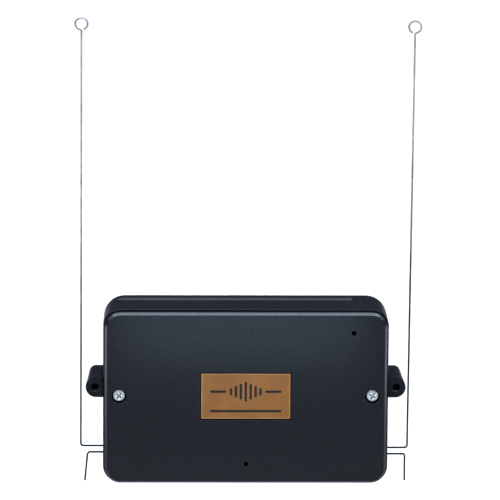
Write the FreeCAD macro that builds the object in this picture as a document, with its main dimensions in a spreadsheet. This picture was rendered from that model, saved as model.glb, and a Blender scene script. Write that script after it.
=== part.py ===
import FreeCAD, Part
import math
import os
import re

import Sketcher

# Wireless alarm receiver for a wall: a moulded box with a screwed cover, two aerial wires with
# eyelets, two short counterpoise wires, and the circuit board that they are clamped to.
# X is to the right, Y into the wall and Z up. The origin is the middle of the wall face.

# Driving dimensions in millimetres, angles in degrees
SIZES = {
    # rear housing
    "box_width": 180.0,
    "box_height": 114.3,
    "box_corner": 11.0,
    "rear_corner": 13.5,
    "base_depth": 33.5,
    "base_wall": 2.8,
    "base_floor": 2.5,
    "base_draft": 1.0,
    "rim_land": 2.0,
    "rim_round": 0.6,
    # channel along the rear edge of the top wall
    "channel_left_inset": 8.5,
    "channel_right_inset": 21.9,
    "channel_rear": 7.7,
    "channel_width": 4.4,
    "channel_depth": 1.8,
    "channel_bevel": 1.2,
    "channel_side_slope": 1.2,
    # cable opening in the floor
    "cable_left_inset": 56.0,
    "cable_top_inset": 19.1,
    "cable_width": 40.0,
    "cable_height": 20.0,
    "cable_corner": 3.0,
    # mounting lugs
    "lug_length": 11.0,
    "lug_half_height": 6.7,
    "lug_root": 4.0,
    "lug_z": 6.0,
    "lug_draft": 4.0,
    "lug_hole_inset": 6.1,
    "lug_hole_radius": 2.3,
    "lug_hole_bevel": 0.6,
    # front cover
    "cover_inset": 1.0,
    "cover_thick": 5.0,
    "cover_face": 2.2,
    "cover_bevel": 1.4,
    "cover_shadow_bevel": 0.5,
    "lip_depth": 3.0,
    "lip_wall": 1.8,
    "lip_clearance": 0.3,
    "cup_wall": 1.5,
    "cup_floor": 2.3,
    "recess_radius": 4.7,
    "recess_depth": 3.0,
    "cover_hole_radius": 2.0,
    "rib_thick": 1.2,
    "rib_height": 1.6,
    "rib_x": 38.0,
    "rib_z": 24.0,
    # nameplate and its well
    "plate_width": 56.2,
    "plate_height": 29.8,
    "plate_thick": 0.5,
    "plate_corner": 0.5,
    "well_margin_x": 0.7,
    "well_margin_z": 0.75,
    "well_depth": 0.8,
    "well_corner": 0.8,
    # cover screws and their bosses
    "screw_inset": 10.1,
    "screw_rise": 1.5,
    "screw_head_radius": 3.6,
    "screw_head_height": 2.4,
    "screw_rim_height": 1.3,
    "screw_shank_radius": 1.75,
    "screw_length": 16.0,
    "screw_tip_length": 2.0,
    "screw_tip_radius": 0.6,
    "cross_span": 4.2,
    "cross_width": 1.0,
    "cross_depth": 1.5,
    "cross_turn_left": 39.0,
    "cross_turn_right": 25.0,
    "boss_radius": 4.2,
    "boss_gap": 0.1,
    "boss_bore_extra": 1.5,
    "boss_rib_thick": 1.6,
    "boss_rib_drop": 3.5,
    "screw_clearance": 0.05,
    # circuit board and its screws
    "board_side_inset": 15.0,
    "board_top_inset": 10.1,
    "board_bottom_inset": 7.2,
    "board_thick": 1.6,
    "board_notch_margin": 2.0,
    "standoff_height": 4.5,
    "standoff_radius": 3.2,
    "low_screw_inset": 25.0,
    "low_screw_rise": 4.0,
    "high_screw_inset": 5.0,
    "high_screw_drop": 23.0,
    "board_screw_radius": 1.3,
    "board_screw_length": 6.0,
    "board_screw_head_radius": 2.8,
    "board_screw_head_height": 1.8,
    "board_slot_width": 0.8,
    "board_slot_depth": 0.8,
    "board_hole_radius": 1.6,
    # aerial wires
    "wire_radius": 0.6,
    "wire_depth": 15.0,
    "wire_clearance": 0.05,
    "wire_wall_hole_radius": 1.1,
    "wire_reach": 7.5,
    "left_wire_rise": 18.6,
    "right_wire_rise": 17.5,
    "left_stem_out": 14.0,
    "left_stem_lean": -0.05,
    "left_aerial_height": 276.4,
    "right_stem_out": 13.0,
    "right_stem_lean": 0.4,
    "right_aerial_height": 275.7,
    "long_bend_radius": 1.8,
    "ring_radius": 3.85,
    "hook_radius": 1.2,
    "ring_gap": 1.35,
    "left_short_out": 9.9,
    "left_short_lean": 5.0,
    "left_short_bend": 2.2,
    "left_short_drop": 18.9,
    "right_short_out": 11.5,
    "right_short_lean": 0.2,
    "right_short_bend": 1.3,
    "right_short_drop": 17.5,
    # aerial terminals
    "terminal_edge_gap": 0.5,
    "terminal_pitch": 4.2,
    "terminal_margin": 2.6,
    "terminal_length": 10.0,
    "terminal_depth": 10.0,
    "terminal_entry": 2.8,
    "terminal_entry_depth": 1.4,
    "clamp_back": 5.0,
    "clamp_radius": 1.5,
    "clamp_well_gap": 0.15,
    "clamp_sink": 0.6,
    "clamp_slot_width": 0.5,
    "clamp_slot_depth": 0.7,
    "clamp_wire_gap": 0.05,
    "bore_end_gap": 0.5,
    # bus terminal
    "bus_notch_gap": 3.0,
    "bus_pitch": 5.08,
    "bus_ways": 4,
    "bus_margin": 2.9,
    "bus_rise": 4.6,
    "bus_bore_radius": 1.2,
    "bus_entry": 3.2,
    "bus_clamp_radius": 1.8,
    # processor, memory and crystal
    "chip_x": 0.0,
    "chip_z": -9.0,
    "socket_side": 22.4,
    "socket_wall": 2.4,
    "socket_depth": 4.6,
    "socket_floor": 1.2,
    "socket_corner_cut": 2.6,
    "chip_side": 16.6,
    "chip_thick": 3.8,
    "chip_gap": 0.2,
    "chip_contact_width": 0.8,
    "chip_contact_pitch": 1.27,
    "chip_contact_count": 11,
    "memory_right": 24.0,
    "memory_above": 6.0,
    "memory_length": 9.8,
    "memory_width": 6.4,
    "memory_thick": 3.4,
    "memory_rise": 0.5,
    "pin_pitch": 2.54,
    "pin_width": 1.2,
    "pin_thick": 0.3,
    "memory_notch_radius": 0.8,
    "crystal_below": 6.5,
    "crystal_length": 11.2,
    "crystal_width": 4.7,
    "crystal_height": 3.6,
    "crystal_flange": 0.4,
    # radio modules
    "shield_edge_gap": 11.0,
    "shield_z": -14.0,
    "shield_width": 24.0,
    "shield_height": 30.0,
    "shield_depth": 6.0,
    "shield_sheet": 0.4,
    "shield_fold": 0.8,
    "tuning_hole_radius": 1.6,
    "tuning_hole_spread": 8.0,
    # power parts
    "regulator_inset": 35.0,
    "power_drop": 13.0,
    "regulator_width": 10.2,
    "regulator_height": 9.2,
    "regulator_thick": 4.4,
    "regulator_tab": 6.2,
    "regulator_tab_thick": 1.3,
    "regulator_hole_radius": 1.85,
    "regulator_leg_length": 3.8,
    "regulator_leg_width": 0.8,
    "big_can_gap": 7.9,
    "big_can_radius": 5.0,
    "big_can_height": 16.0,
    "small_can_gap": 4.5,
    "small_can_radius": 4.0,
    "small_can_height": 11.5,
    "can_round": 0.6,
    # status light
    "led_side_inset": 22.1,
    "led_top_inset": 14.1,
    "led_hole_radius": 1.7,
    "led_radius": 1.5,
    "led_flange_radius": 1.9,
    "led_flange_height": 1.0,
    "led_body_height": 3.8,
    "led_spacer_height": 9.5,
    "led_guide_wall": 1.4,
    "led_guide_length": 4.0,
    # enrol button
    "button_x": 0.5,
    "button_bottom_inset": 13.9,
    "button_hole_radius": 1.6,
    "button_case": 6.2,
    "button_case_depth": 3.6,
    "button_radius": 1.7,
    "button_clearance": 0.05,
    "button_height": 9.5,
    "button_foot": 1.4,
    "button_travel": 0.3,
    "button_guide_length": 8.0,
    # tamper switch
    "tamper_inset": 13.0,
    "tamper_drop": 9.0,
    "tamper_case_width": 8.0,
    "tamper_case_depth": 6.5,
    "tamper_radius": 2.0,
    "tamper_clearance": 0.05,
    "tamper_foot": 2.0,
    "tamper_out": 4.5,
    "tamper_post_radius": 2.6,
    "tamper_post_gap": 0.05,
    # address switch
    "address_x": 25.0,
    "address_rise": 13.0,
    "address_width": 9.9,
    "address_margin": 1.9,
    "address_depth": 5.4,
    "address_ways": 4,
    "slot_length": 3.6,
    "slot_width": 1.5,
    "slot_depth": 1.5,
    "slider_length": 1.7,
    "slider_clearance": 0.05,
    "slider_proud": 0.8,
    # small parts
    "case_bevel": 0.5,
    "network_gap": 8.6,
    "network_spacing": 5.0,
    "network_length": 22.8,
    "network_thick": 2.4,
    "network_height": 5.0,
    "network_round": 0.6,
    "resistor_x": -30.0,
    "resistor_rise": 13.0,
    "resistor_pitch": 3.2,
    "resistor_count": 5,
    "resistor_length": 6.3,
    "resistor_radius": 1.15,
    "lead_thick": 0.6,
    "resistor_span": 10.2,
    "disc_gap": 7.0,
    "disc_pitch": 6.5,
    "disc_count": 3,
    "disc_radius": 2.6,
    "disc_thick": 2.0,
    "disc_rise": 1.2,
    "header_x": -8.0,
    "header_rise": 17.0,
    "header_side": 2.5,
    "header_pin": 0.64,
    "header_pin_height": 8.4,
    "header_ways": 3,
    "jumper_height": 6.0,
    "jumper_gap": 0.06,
}

# Lengths that follow from the driving ones
WORKED_OUT = {
    "half_width": "box_width / 2",
    "half_height": "box_height / 2",
    "lug_reach": "half_width + lug_length",
    "lug_hole_x": "lug_reach - lug_hole_inset",
    "cable_x": "cable_left_inset - half_width",
    "cable_z": "half_height - cable_top_inset",
    "screw_spread": "half_width - screw_inset",
    "board_half": "half_width - board_side_inset",
    "board_top": "half_height - board_top_inset",
    "board_low": "half_height - board_bottom_inset",
    "notch_low": "cable_z - cable_height / 2 - board_notch_margin",
    "left_wire_z": "half_height - left_wire_rise",
    "right_wire_z": "half_height - right_wire_rise",
    "left_stem_x": "half_width + left_stem_out",
    "right_stem_x": "half_width + right_stem_out",
    "left_ring_z": "left_aerial_height - left_wire_z",
    "right_ring_z": "right_aerial_height - right_wire_z",
    "left_short_x": "half_width + left_short_out",
    "right_short_x": "half_width + right_short_out",
    "left_short_tip": "left_wire_z + terminal_pitch + left_short_drop",
    "right_short_tip": "right_wire_z + terminal_pitch + right_short_drop",
    "terminal_face_x": "board_half - terminal_edge_gap",
    "bus_face_z": "notch_low - bus_notch_gap",
    "shield_x": "board_half - shield_edge_gap - shield_width / 2",
    "power_z": "board_top - power_drop",
    "regulator_x": "board_half - regulator_inset",
    "big_can_x": "regulator_x - regulator_width / 2 - big_can_gap - big_can_radius",
    "small_can_x": "big_can_x - big_can_radius - small_can_gap - small_can_radius",
    "led_x": "half_width - led_side_inset",
    "led_z": "half_height - led_top_inset",
    "button_z": "button_bottom_inset - half_height",
    "tamper_x": "tamper_inset - board_half",
    "tamper_z": "board_top - tamper_drop",
    "disc_z": "shield_z + shield_height / 2 + disc_gap",
    "network_z": "chip_z + socket_side / 2 + network_gap",
    "cover_front": "base_depth + cover_thick",
    "cover_inside": "cover_front - cover_face",
    "cup_underside": "cover_front - recess_depth - cup_floor",
    "lip_inset": "base_wall + lip_clearance",
    "boss_height": "cup_underside - boss_gap - base_floor",
    "boss_bore": "screw_length - cup_floor - boss_gap + boss_bore_extra",
    "board_rear": "base_floor + standoff_height",
    "board_front": "board_rear + board_thick",
    "wire_rise": "wire_depth - board_front",
    "wire_end": "terminal_face_x - wire_reach",
    "slope": "tan(base_draft * 1 deg)",
    "drawn_in": "(base_depth - rim_land) * slope",
    "channel_floor": "half_height - drawn_in + channel_rear * slope - channel_depth",
    "hook_drop": "sqrt((ring_radius + hook_radius) ^ 2 - hook_radius ^ 2)",
    "crown_drop": "screw_head_height - screw_rim_height",
    "crown_radius": "(screw_head_radius ^ 2 + crown_drop ^ 2) / (2 * crown_drop)",
    "tamper_top": "board_front + tamper_case_depth + tamper_out",
}

V = FreeCAD.Vector
FRONTWARD = FreeCAD.Rotation(V(1, 0, 0), 90)
LEFTWARD = FreeCAD.Rotation(V(0, 1, 0), -90)
RIGHTWARD = FreeCAD.Rotation(V(0, 1, 0), 90)
HALF_TURN = FreeCAD.Rotation(V(0, 0, 1), 180)
LEVEL = FreeCAD.Rotation()

doc = FreeCAD.newDocument("WirelessReceiver")
sheet = doc.addObject("Spreadsheet::Sheet", "Sizes")
sub_parts = []


def fill_sheet():
    """Writes the driving dimensions to the sheet, one row each."""
    for row, (name, value) in enumerate(SIZES.items(), start=1):
        sheet.set(f"A{row}", name)
        sheet.set(f"B{row}", str(value))
        sheet.setAlias(f"B{row}", name)
    doc.recompute()


def tie(formula):
    """Turns a formula of plain names into an expression on the sheet's cells."""
    def cell(match):
        name = match.group()
        if name in WORKED_OUT:
            return f"({tie(WORKED_OUT[name])})"
        return f"Sizes.{name}" if name in SIZES else name
    return re.sub(r"[a-z_]+", cell, str(formula))


def number(formula):
    """The present value of a formula."""
    return float(sheet.evalExpression(tie(formula)))


def whole(name):
    """A count from the sheet."""
    return round(number(name))


def finished(item, label):
    """Names a finished sub-part."""
    item.Label = label
    sub_parts.append(item)
    return item


# Sketches

def new_body(name, rotation=LEVEL, at=("0", "0", "0")):
    """A body whose own frame is turned and placed in the part's frame."""
    body = doc.addObject("PartDesign::Body", name)
    place(body, rotation, at)
    return body


def place(item, rotation, at):
    """Turns an object and ties its position to the sheet."""
    item.Placement = FreeCAD.Placement(V(), rotation)
    for axis, formula in zip("xyz", at):
        item.setExpression(f"Placement.Base.{axis}", tie(formula))


def new_sketch(body, name, plane="XZ_Plane", offset="0"):
    """A sketch on one of the body's own planes; on XZ its offset is the distance from the wall."""
    sketch = body.newObject("Sketcher::SketchObject", name)
    support = [item for item in body.Origin.OriginFeatures if item.Role == plane]
    sketch.AttachmentSupport = [(support[0], "")]
    sketch.MapMode = "FlatFace"
    sketch.setExpression("AttachmentOffset.Base.z", tie(offset))
    return sketch


def bind(sketch, formula, kind, *geometry):
    """Adds a dimension to a sketch and ties it to the sheet."""
    value = number(formula)
    start = math.radians(value) if kind == "Angle" else value
    index = sketch.addConstraint(Sketcher.Constraint(kind, *geometry, start))
    sketch.setExpression(f"Constraints[{index}]", tie(formula))


def bind_point(sketch, item, end, across, up):
    """Ties one point of a sketch to a place."""
    bind(sketch, across, "DistanceX", -1, 1, item, end)
    bind(sketch, up, "DistanceY", -1, 1, item, end)


def add_circle(sketch, across, up, radius):
    """A circle."""
    circle = Part.Circle(V(number(across), number(up), 0), V(0, 0, 1), number(radius))
    item = sketch.addGeometry(circle)
    bind(sketch, radius, "Radius", item)
    bind_point(sketch, item, 3, across, up)


def add_rounded_rectangle(sketch, across, up, width, height, corner):
    """A rectangle with round corners about a centre."""
    left, right = f"{across} - ({width}) / 2", f"{across} + ({width}) / 2"
    low, high = f"{up} - ({height}) / 2", f"{up} + ({height}) / 2"
    x0, x1, z0, z1, r = (number(f) for f in (left, right, low, high, corner))
    first = sketch.GeometryCount
    sides = [
        Part.LineSegment(V(x0 + r, z0, 0), V(x1 - r, z0, 0)),
        Part.LineSegment(V(x1, z0 + r, 0), V(x1, z1 - r, 0)),
        Part.LineSegment(V(x1 - r, z1, 0), V(x0 + r, z1, 0)),
        Part.LineSegment(V(x0, z1 - r, 0), V(x0, z0 + r, 0)),
    ]
    centres = [(x1 - r, z0 + r), (x1 - r, z1 - r), (x0 + r, z1 - r), (x0 + r, z0 + r)]
    for quarter, (x, z) in enumerate(centres):
        circle = Part.Circle(V(x, z, 0), V(0, 0, 1), r)
        start = (quarter - 1) * math.pi / 2
        sides.append(Part.ArcOfCircle(circle, start, start + math.pi / 2))
    sketch.addGeometry(sides, False)
    for side in range(4):
        arc = first + 4 + side
        direction = "Vertical" if side % 2 else "Horizontal"
        sketch.addConstraint(Sketcher.Constraint(direction, first + side))
        sketch.addConstraint(Sketcher.Constraint("Tangent", first + side, 2, arc, 1))
        sketch.addConstraint(Sketcher.Constraint("Tangent", arc, 2, first + (side + 1) % 4, 1))
        if side:
            sketch.addConstraint(Sketcher.Constraint("Equal", first + 4, arc))
    bind(sketch, corner, "Radius", first + 4)
    bind(sketch, low, "DistanceY", -1, 1, first, 1)
    bind(sketch, right, "DistanceX", -1, 1, first + 1, 1)
    bind(sketch, high, "DistanceY", -1, 1, first + 2, 1)
    bind(sketch, left, "DistanceX", -1, 1, first + 3, 1)


def add_tongue(sketch, side, root, across, up, radius):
    """A tongue with a round end, on the left or the right of the middle."""
    x0, x1, z, r = side * number(root), side * number(across), number(up), number(radius)
    first = sketch.GeometryCount
    root_line, low_line, high_line, arc = range(first, first + 4)
    start = -math.pi / 2 * side
    sketch.addGeometry([
        Part.LineSegment(V(x0, z + r, 0), V(x0, z - r, 0)),
        Part.LineSegment(V(x0, z - r, 0), V(x1, z - r, 0)),
        Part.LineSegment(V(x0, z + r, 0), V(x1, z + r, 0)),
        Part.ArcOfCircle(Part.Circle(V(x1, z, 0), V(0, 0, 1), r), start, start + math.pi),
    ], False)
    low_end, high_end = (1, 2) if side > 0 else (2, 1)
    fix = Sketcher.Constraint
    sketch.addConstraint([
        fix("Vertical", root_line),
        fix("Horizontal", low_line),
        fix("Horizontal", high_line),
        fix("Coincident", root_line, 1, high_line, 1),
        fix("Coincident", root_line, 2, low_line, 1),
        fix("Tangent", low_line, 2, arc, low_end),
        fix("Tangent", high_line, 2, arc, high_end),
    ])
    bind(sketch, radius, "Radius", arc)
    bind_point(sketch, arc, 3, f"{side} * ({across})", up)
    bind(sketch, f"{side} * ({root})", "DistanceX", -1, 1, root_line, 1)


def add_outline(sketch, corners):
    """A closed outline through corners; a third value is the radius of the arc to the next one,
    which bulges to the right of the way round."""
    count = len(corners)
    ends = []
    for k, corner in enumerate(corners):
        start = V(number(corner[0]), number(corner[1]), 0)
        after = corners[(k + 1) % count]
        stop = V(number(after[0]), number(after[1]), 0)
        if len(corner) == 2:
            ends.append((sketch.addGeometry(Part.LineSegment(start, stop)), 1, 2))
            continue
        chord = stop - start
        radius = number(corner[2])
        rise = radius - math.sqrt(max(radius ** 2 - chord.Length ** 2 / 4, 0))
        outward = V(chord.y, -chord.x, 0).normalize()
        middle = (start + stop) / 2 + outward * rise
        item = sketch.addGeometry(Part.Arc(start, middle, stop))
        ends.append((item, 1, 2))
    for k, corner in enumerate(corners):
        item, begin, end = ends[k]
        following = ends[(k + 1) % count]
        sketch.addConstraint(Sketcher.Constraint("Coincident", item, end, following[0], following[1]))
        bind_point(sketch, item, begin, corner[0], corner[1])
        if len(corner) == 3:
            bind(sketch, corner[2], "Radius", item)


# Features of a body

def add_pad(body, name, profile, length, to_wall=False, draft=None):
    """Adds material from a sketch, towards the front unless it goes to the wall."""
    feature = body.newObject("PartDesign::Pad", name)
    feature.Profile = profile
    feature.setExpression("Length", tie(length))
    feature.Reversed = to_wall
    if draft:
        feature.setExpression("TaperAngle", tie(f"-{draft}"))
    doc.recompute()
    return feature


def add_loft(body, name, mouth, floor, cut=False):
    """Joins two sketches by straight walls, as material or as a hollow."""
    kind = "SubtractiveLoft" if cut else "AdditiveLoft"
    feature = body.newObject(f"PartDesign::{kind}", name)
    feature.Profile = mouth
    feature.Sections = [floor]
    feature.Ruled = True
    doc.recompute()
    return feature


def add_pocket(body, name, profile, length=None, to_front=False, draft=None):
    """Cuts a sketch away, towards the wall unless it goes to the front, or through everything."""
    before = body.Shape.Volume
    feature = body.newObject("PartDesign::Pocket", name)
    feature.Profile = profile
    feature.Reversed = to_front
    if length is None:
        feature.Type = "ThroughAll"
    else:
        feature.setExpression("Length", tie(length))
    if draft:
        feature.setExpression("TaperAngle", tie(f"-{draft}"))
    doc.recompute()
    if not body.Shape.Volume < before:
        raise RuntimeError(f"{body.Name} {name} cuts nothing")
    return feature


def add_box(body, name, size, centre, cut=False):
    """A block in a body: its size and the middle of its lowest face."""
    kind = "PartDesign::SubtractiveBox" if cut else "PartDesign::AdditiveBox"
    feature = body.newObject(kind, name)
    for side, formula in zip(("Length", "Width", "Height"), size):
        feature.setExpression(side, tie(formula))
    feature.setExpression("Placement.Base.x", tie(f"{centre[0]} - ({size[0]}) / 2"))
    feature.setExpression("Placement.Base.y", tie(f"{centre[1]} - ({size[1]}) / 2"))
    feature.setExpression("Placement.Base.z", tie(centre[2]))
    doc.recompute()
    return feature


def add_cylinder(body, name, radius, height, base, rotation=LEVEL, cut=False):
    """A round post or bore in a body, from the middle of its base."""
    kind = "PartDesign::SubtractiveCylinder" if cut else "PartDesign::AdditiveCylinder"
    feature = body.newObject(kind, name)
    feature.setExpression("Radius", tie(radius))
    feature.setExpression("Height", tie(height))
    place(feature, rotation, base)
    doc.recompute()
    return feature


def dress_edges(body, kind, name, size, test):
    """Rounds or bevels the edges that pass a test."""
    base = body.Tip
    chosen = [f"Edge{k}" for k, edge in enumerate(base.Shape.Edges, start=1) if test(edge)]
    feature = body.newObject(f"PartDesign::{kind}", name)
    feature.Base = (base, chosen)
    feature.setExpression("Radius" if kind == "Fillet" else "Size", tie(size))
    doc.recompute()
    return feature


def in_plane(axis, level, radius=None):
    """A test for the edges in a plane across an axis, or only for circles of one radius there."""
    height = number(level)

    def test(edge):
        ends = [getattr(edge.BoundBox, f"{axis.upper()}{side}") for side in ("Min", "Max")]
        if max(abs(end - height) for end in ends) > 0.001:
            return False
        if radius is None:
            return True
        return abs(getattr(edge.Curve, "Radius", 0) - number(radius)) < 0.001
    return test


def upright_at(across, along):
    """A test for the upright edge at one place of a body's own frame."""
    corner = V(number(across), number(along), 0)

    def test(edge):
        middle = edge.BoundBox.Center
        return edge.BoundBox.ZLength > 0.1 and (V(middle.x, middle.y, 0) - corner).Length < 0.001
    return test


def turned(name, corners, rotation, at):
    """A body turned from a profile of radius and height about its own Z axis."""
    body = new_body(name, rotation, at)
    profile = new_sketch(body, f"{name}Profile")
    add_outline(profile, corners)
    doc.recompute()
    feature = body.newObject("PartDesign::Revolution", f"{name}Turned")
    feature.Profile = profile
    feature.ReferenceAxis = (profile, ["V_Axis"])
    feature.Angle = 360
    doc.recompute()
    return body


# Plain solids and their joins

def box(name, size, centre):
    """A block: its size and the middle of its lowest face."""
    item = doc.addObject("Part::Box", name)
    for side, formula in zip(("Length", "Width", "Height"), size):
        item.setExpression(side, tie(formula))
    item.setExpression("Placement.Base.x", tie(f"{centre[0]} - ({size[0]}) / 2"))
    item.setExpression("Placement.Base.y", tie(f"{centre[1]} - ({size[1]}) / 2"))
    item.setExpression("Placement.Base.z", tie(centre[2]))
    return item


def cylinder(name, radius, height, base, rotation=LEVEL):
    """A round bar from the middle of its base."""
    item = doc.addObject("Part::Cylinder", name)
    item.setExpression("Radius", tie(radius))
    item.setExpression("Height", tie(height))
    place(item, rotation, base)
    return item


def fused(name, items):
    """Several solids joined to one."""
    item = doc.addObject("Part::MultiFuse", name)
    item.Shapes = items
    return item


def cut_from(name, stock, tools):
    """A solid with others cut from it."""
    item = doc.addObject("Part::Cut", name)
    item.Base = stock
    item.Tool = tools[0] if len(tools) == 1 else fused(f"{name}Tools", tools)
    return item


def grouped(name, items):
    """Separate solids kept as one sub-part."""
    item = doc.addObject("Part::Compound", name)
    item.Links = items
    return item


# Rear housing

def make_rear_housing():
    """The moulded back of the box, with its lugs, bosses and openings."""
    body = new_body("RearHousing")
    rim = new_sketch(body, "RimOutline", offset="base_depth")
    land = new_sketch(body, "LandOutline", offset="base_depth - rim_land")
    for outline in (rim, land):
        add_rounded_rectangle(outline, "0", "0", "box_width", "box_height", "box_corner")
    add_pad(body, "RimLand", rim, "rim_land", to_wall=True)
    dress_edges(body, "Fillet", "RimRound", "rim_round", in_plane("y", "-base_depth"))
    back = new_sketch(body, "BackOutline")
    add_rounded_rectangle(back, "0", "0", "box_width - 2 * drawn_in", "box_height - 2 * drawn_in", "rear_corner")
    add_loft(body, "Walls", land, back)

    lugs = new_sketch(body, "LugOutline", offset="base_depth")
    for side in (-1, 1):
        add_tongue(lugs, side, "half_width - lug_root", "lug_reach - lug_half_height", "lug_z", "lug_half_height")
    add_pad(body, "Lugs", lugs, "base_depth", to_wall=True, draft="lug_draft")

    cavity = new_sketch(body, "CavityOutline", offset="base_depth")
    inner = ("box_width - 2 * base_wall", "box_height - 2 * base_wall", "box_corner - base_wall")
    add_rounded_rectangle(cavity, "0", "0", *inner)
    floor = new_sketch(body, "CavityFloor", offset="base_floor")
    shrunk = "2 * (base_wall + drawn_in)"
    add_rounded_rectangle(floor, "0", "0", f"box_width - {shrunk}", f"box_height - {shrunk}", "rear_corner - base_wall")
    add_loft(body, "Cavity", cavity, floor, cut=True)

    bosses = new_sketch(body, "BossOutline", offset="base_floor")
    for side in ("-1", "1"):
        add_circle(bosses, f"{side} * screw_spread", "screw_rise", "boss_radius")
    add_pad(body, "Bosses", bosses, "boss_height")
    rib_length = "half_width - base_wall / 2 - drawn_in - screw_spread"
    for side, name in (("-1", "Left"), ("1", "Right")):
        size = (rib_length, "boss_height - boss_rib_drop", "boss_rib_thick")
        middle = (
            f"{side} * (screw_spread + ({rib_length}) / 2)",
            "-base_floor - (boss_height - boss_rib_drop) / 2",
            "screw_rise - boss_rib_thick / 2",
        )
        add_box(body, f"BossRib{name}", size, middle)
    standoffs = new_sketch(body, "StandoffOutline", offset="base_floor")
    for x, z in board_screw_places():
        add_circle(standoffs, x, z, "standoff_radius")
    add_pad(body, "Standoffs", standoffs, "standoff_height")

    bores = new_sketch(body, "BossBores", offset="base_floor + boss_height")
    for side in ("-1", "1"):
        add_circle(bores, f"{side} * screw_spread", "screw_rise", "screw_shank_radius + screw_clearance")
    add_pocket(body, "BossBore", bores, "boss_bore")
    pilots = new_sketch(body, "PilotBores", offset="board_rear")
    for x, z in board_screw_places():
        add_circle(pilots, x, z, "board_screw_radius + screw_clearance")
    add_pocket(body, "PilotBore", pilots, "board_screw_length - board_thick + screw_clearance")

    holes = new_sketch(body, "LugHoles", offset="base_depth")
    for side in ("-1", "1"):
        add_circle(holes, f"{side} * lug_hole_x", "lug_z", "lug_hole_radius")
    add_pocket(body, "LugHole", holes)
    mouths = in_plane("y", "-base_depth", "lug_hole_radius")
    dress_edges(body, "Chamfer", "LugHoleBevel", "lug_hole_bevel", mouths)

    opening = new_sketch(body, "CableOpening", offset="base_floor")
    add_rounded_rectangle(opening, "cable_x", "cable_z", "cable_width", "cable_height", "cable_corner")
    add_pocket(body, "CableOpeningCut", opening)

    wire_hole = ("wire_wall_hole_radius", "4 * base_wall")
    for side, turn, first in (("-1", LEFTWARD, "left_wire_z"), ("1", RIGHTWARD, "right_wire_z")):
        start = f"{side} * (half_width - 3 * base_wall)"
        for step in (0, 1):
            height = f"-{first} - {step} * terminal_pitch"
            name = f"WireHole{first[0].upper()}{step}"
            add_cylinder(body, name, *wire_hole, (start, "-wire_depth", height), turn, cut=True)

    channel = new_sketch(body, "ChannelSection", "XY_Plane", "channel_floor")
    near, far = "-channel_rear - channel_width", "-channel_rear"
    add_outline(channel, [
        ("channel_left_inset - half_width", near),
        ("half_width - channel_right_inset + channel_side_slope", near),
        ("half_width - channel_right_inset", far),
        ("channel_left_inset - half_width", far),
    ])
    add_pocket(body, "Channel", channel, "2 * channel_depth", to_front=True)

    bevel = new_sketch(body, "ChannelBevelSection", "YZ_Plane", "half_width - channel_right_inset")
    top, below = "channel_floor + channel_depth", "(channel_depth - channel_bevel) / 2"
    add_outline(bevel, [
        (f"-channel_rear - {below}", f"{top} - channel_bevel - {below}"),
        ("-channel_rear + 2 * channel_bevel", f"{top} + channel_bevel"),
        (f"-channel_rear - {below}", f"{top} + channel_bevel"),
    ])
    add_pocket(body, "ChannelBevel", bevel, "box_width - channel_left_inset - channel_right_inset")
    finished(body, "rear_housing")


def board_screw_places():
    """The board's four screws, lower pair first."""
    places = []
    rows = (
        ("board_half - low_screw_inset", "low_screw_rise - board_low"),
        ("board_half - high_screw_inset", "board_top - high_screw_drop"),
    )
    for x, z in rows:
        places += [(f"-({x})", z), (x, z)]
    return places


# Front cover

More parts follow.
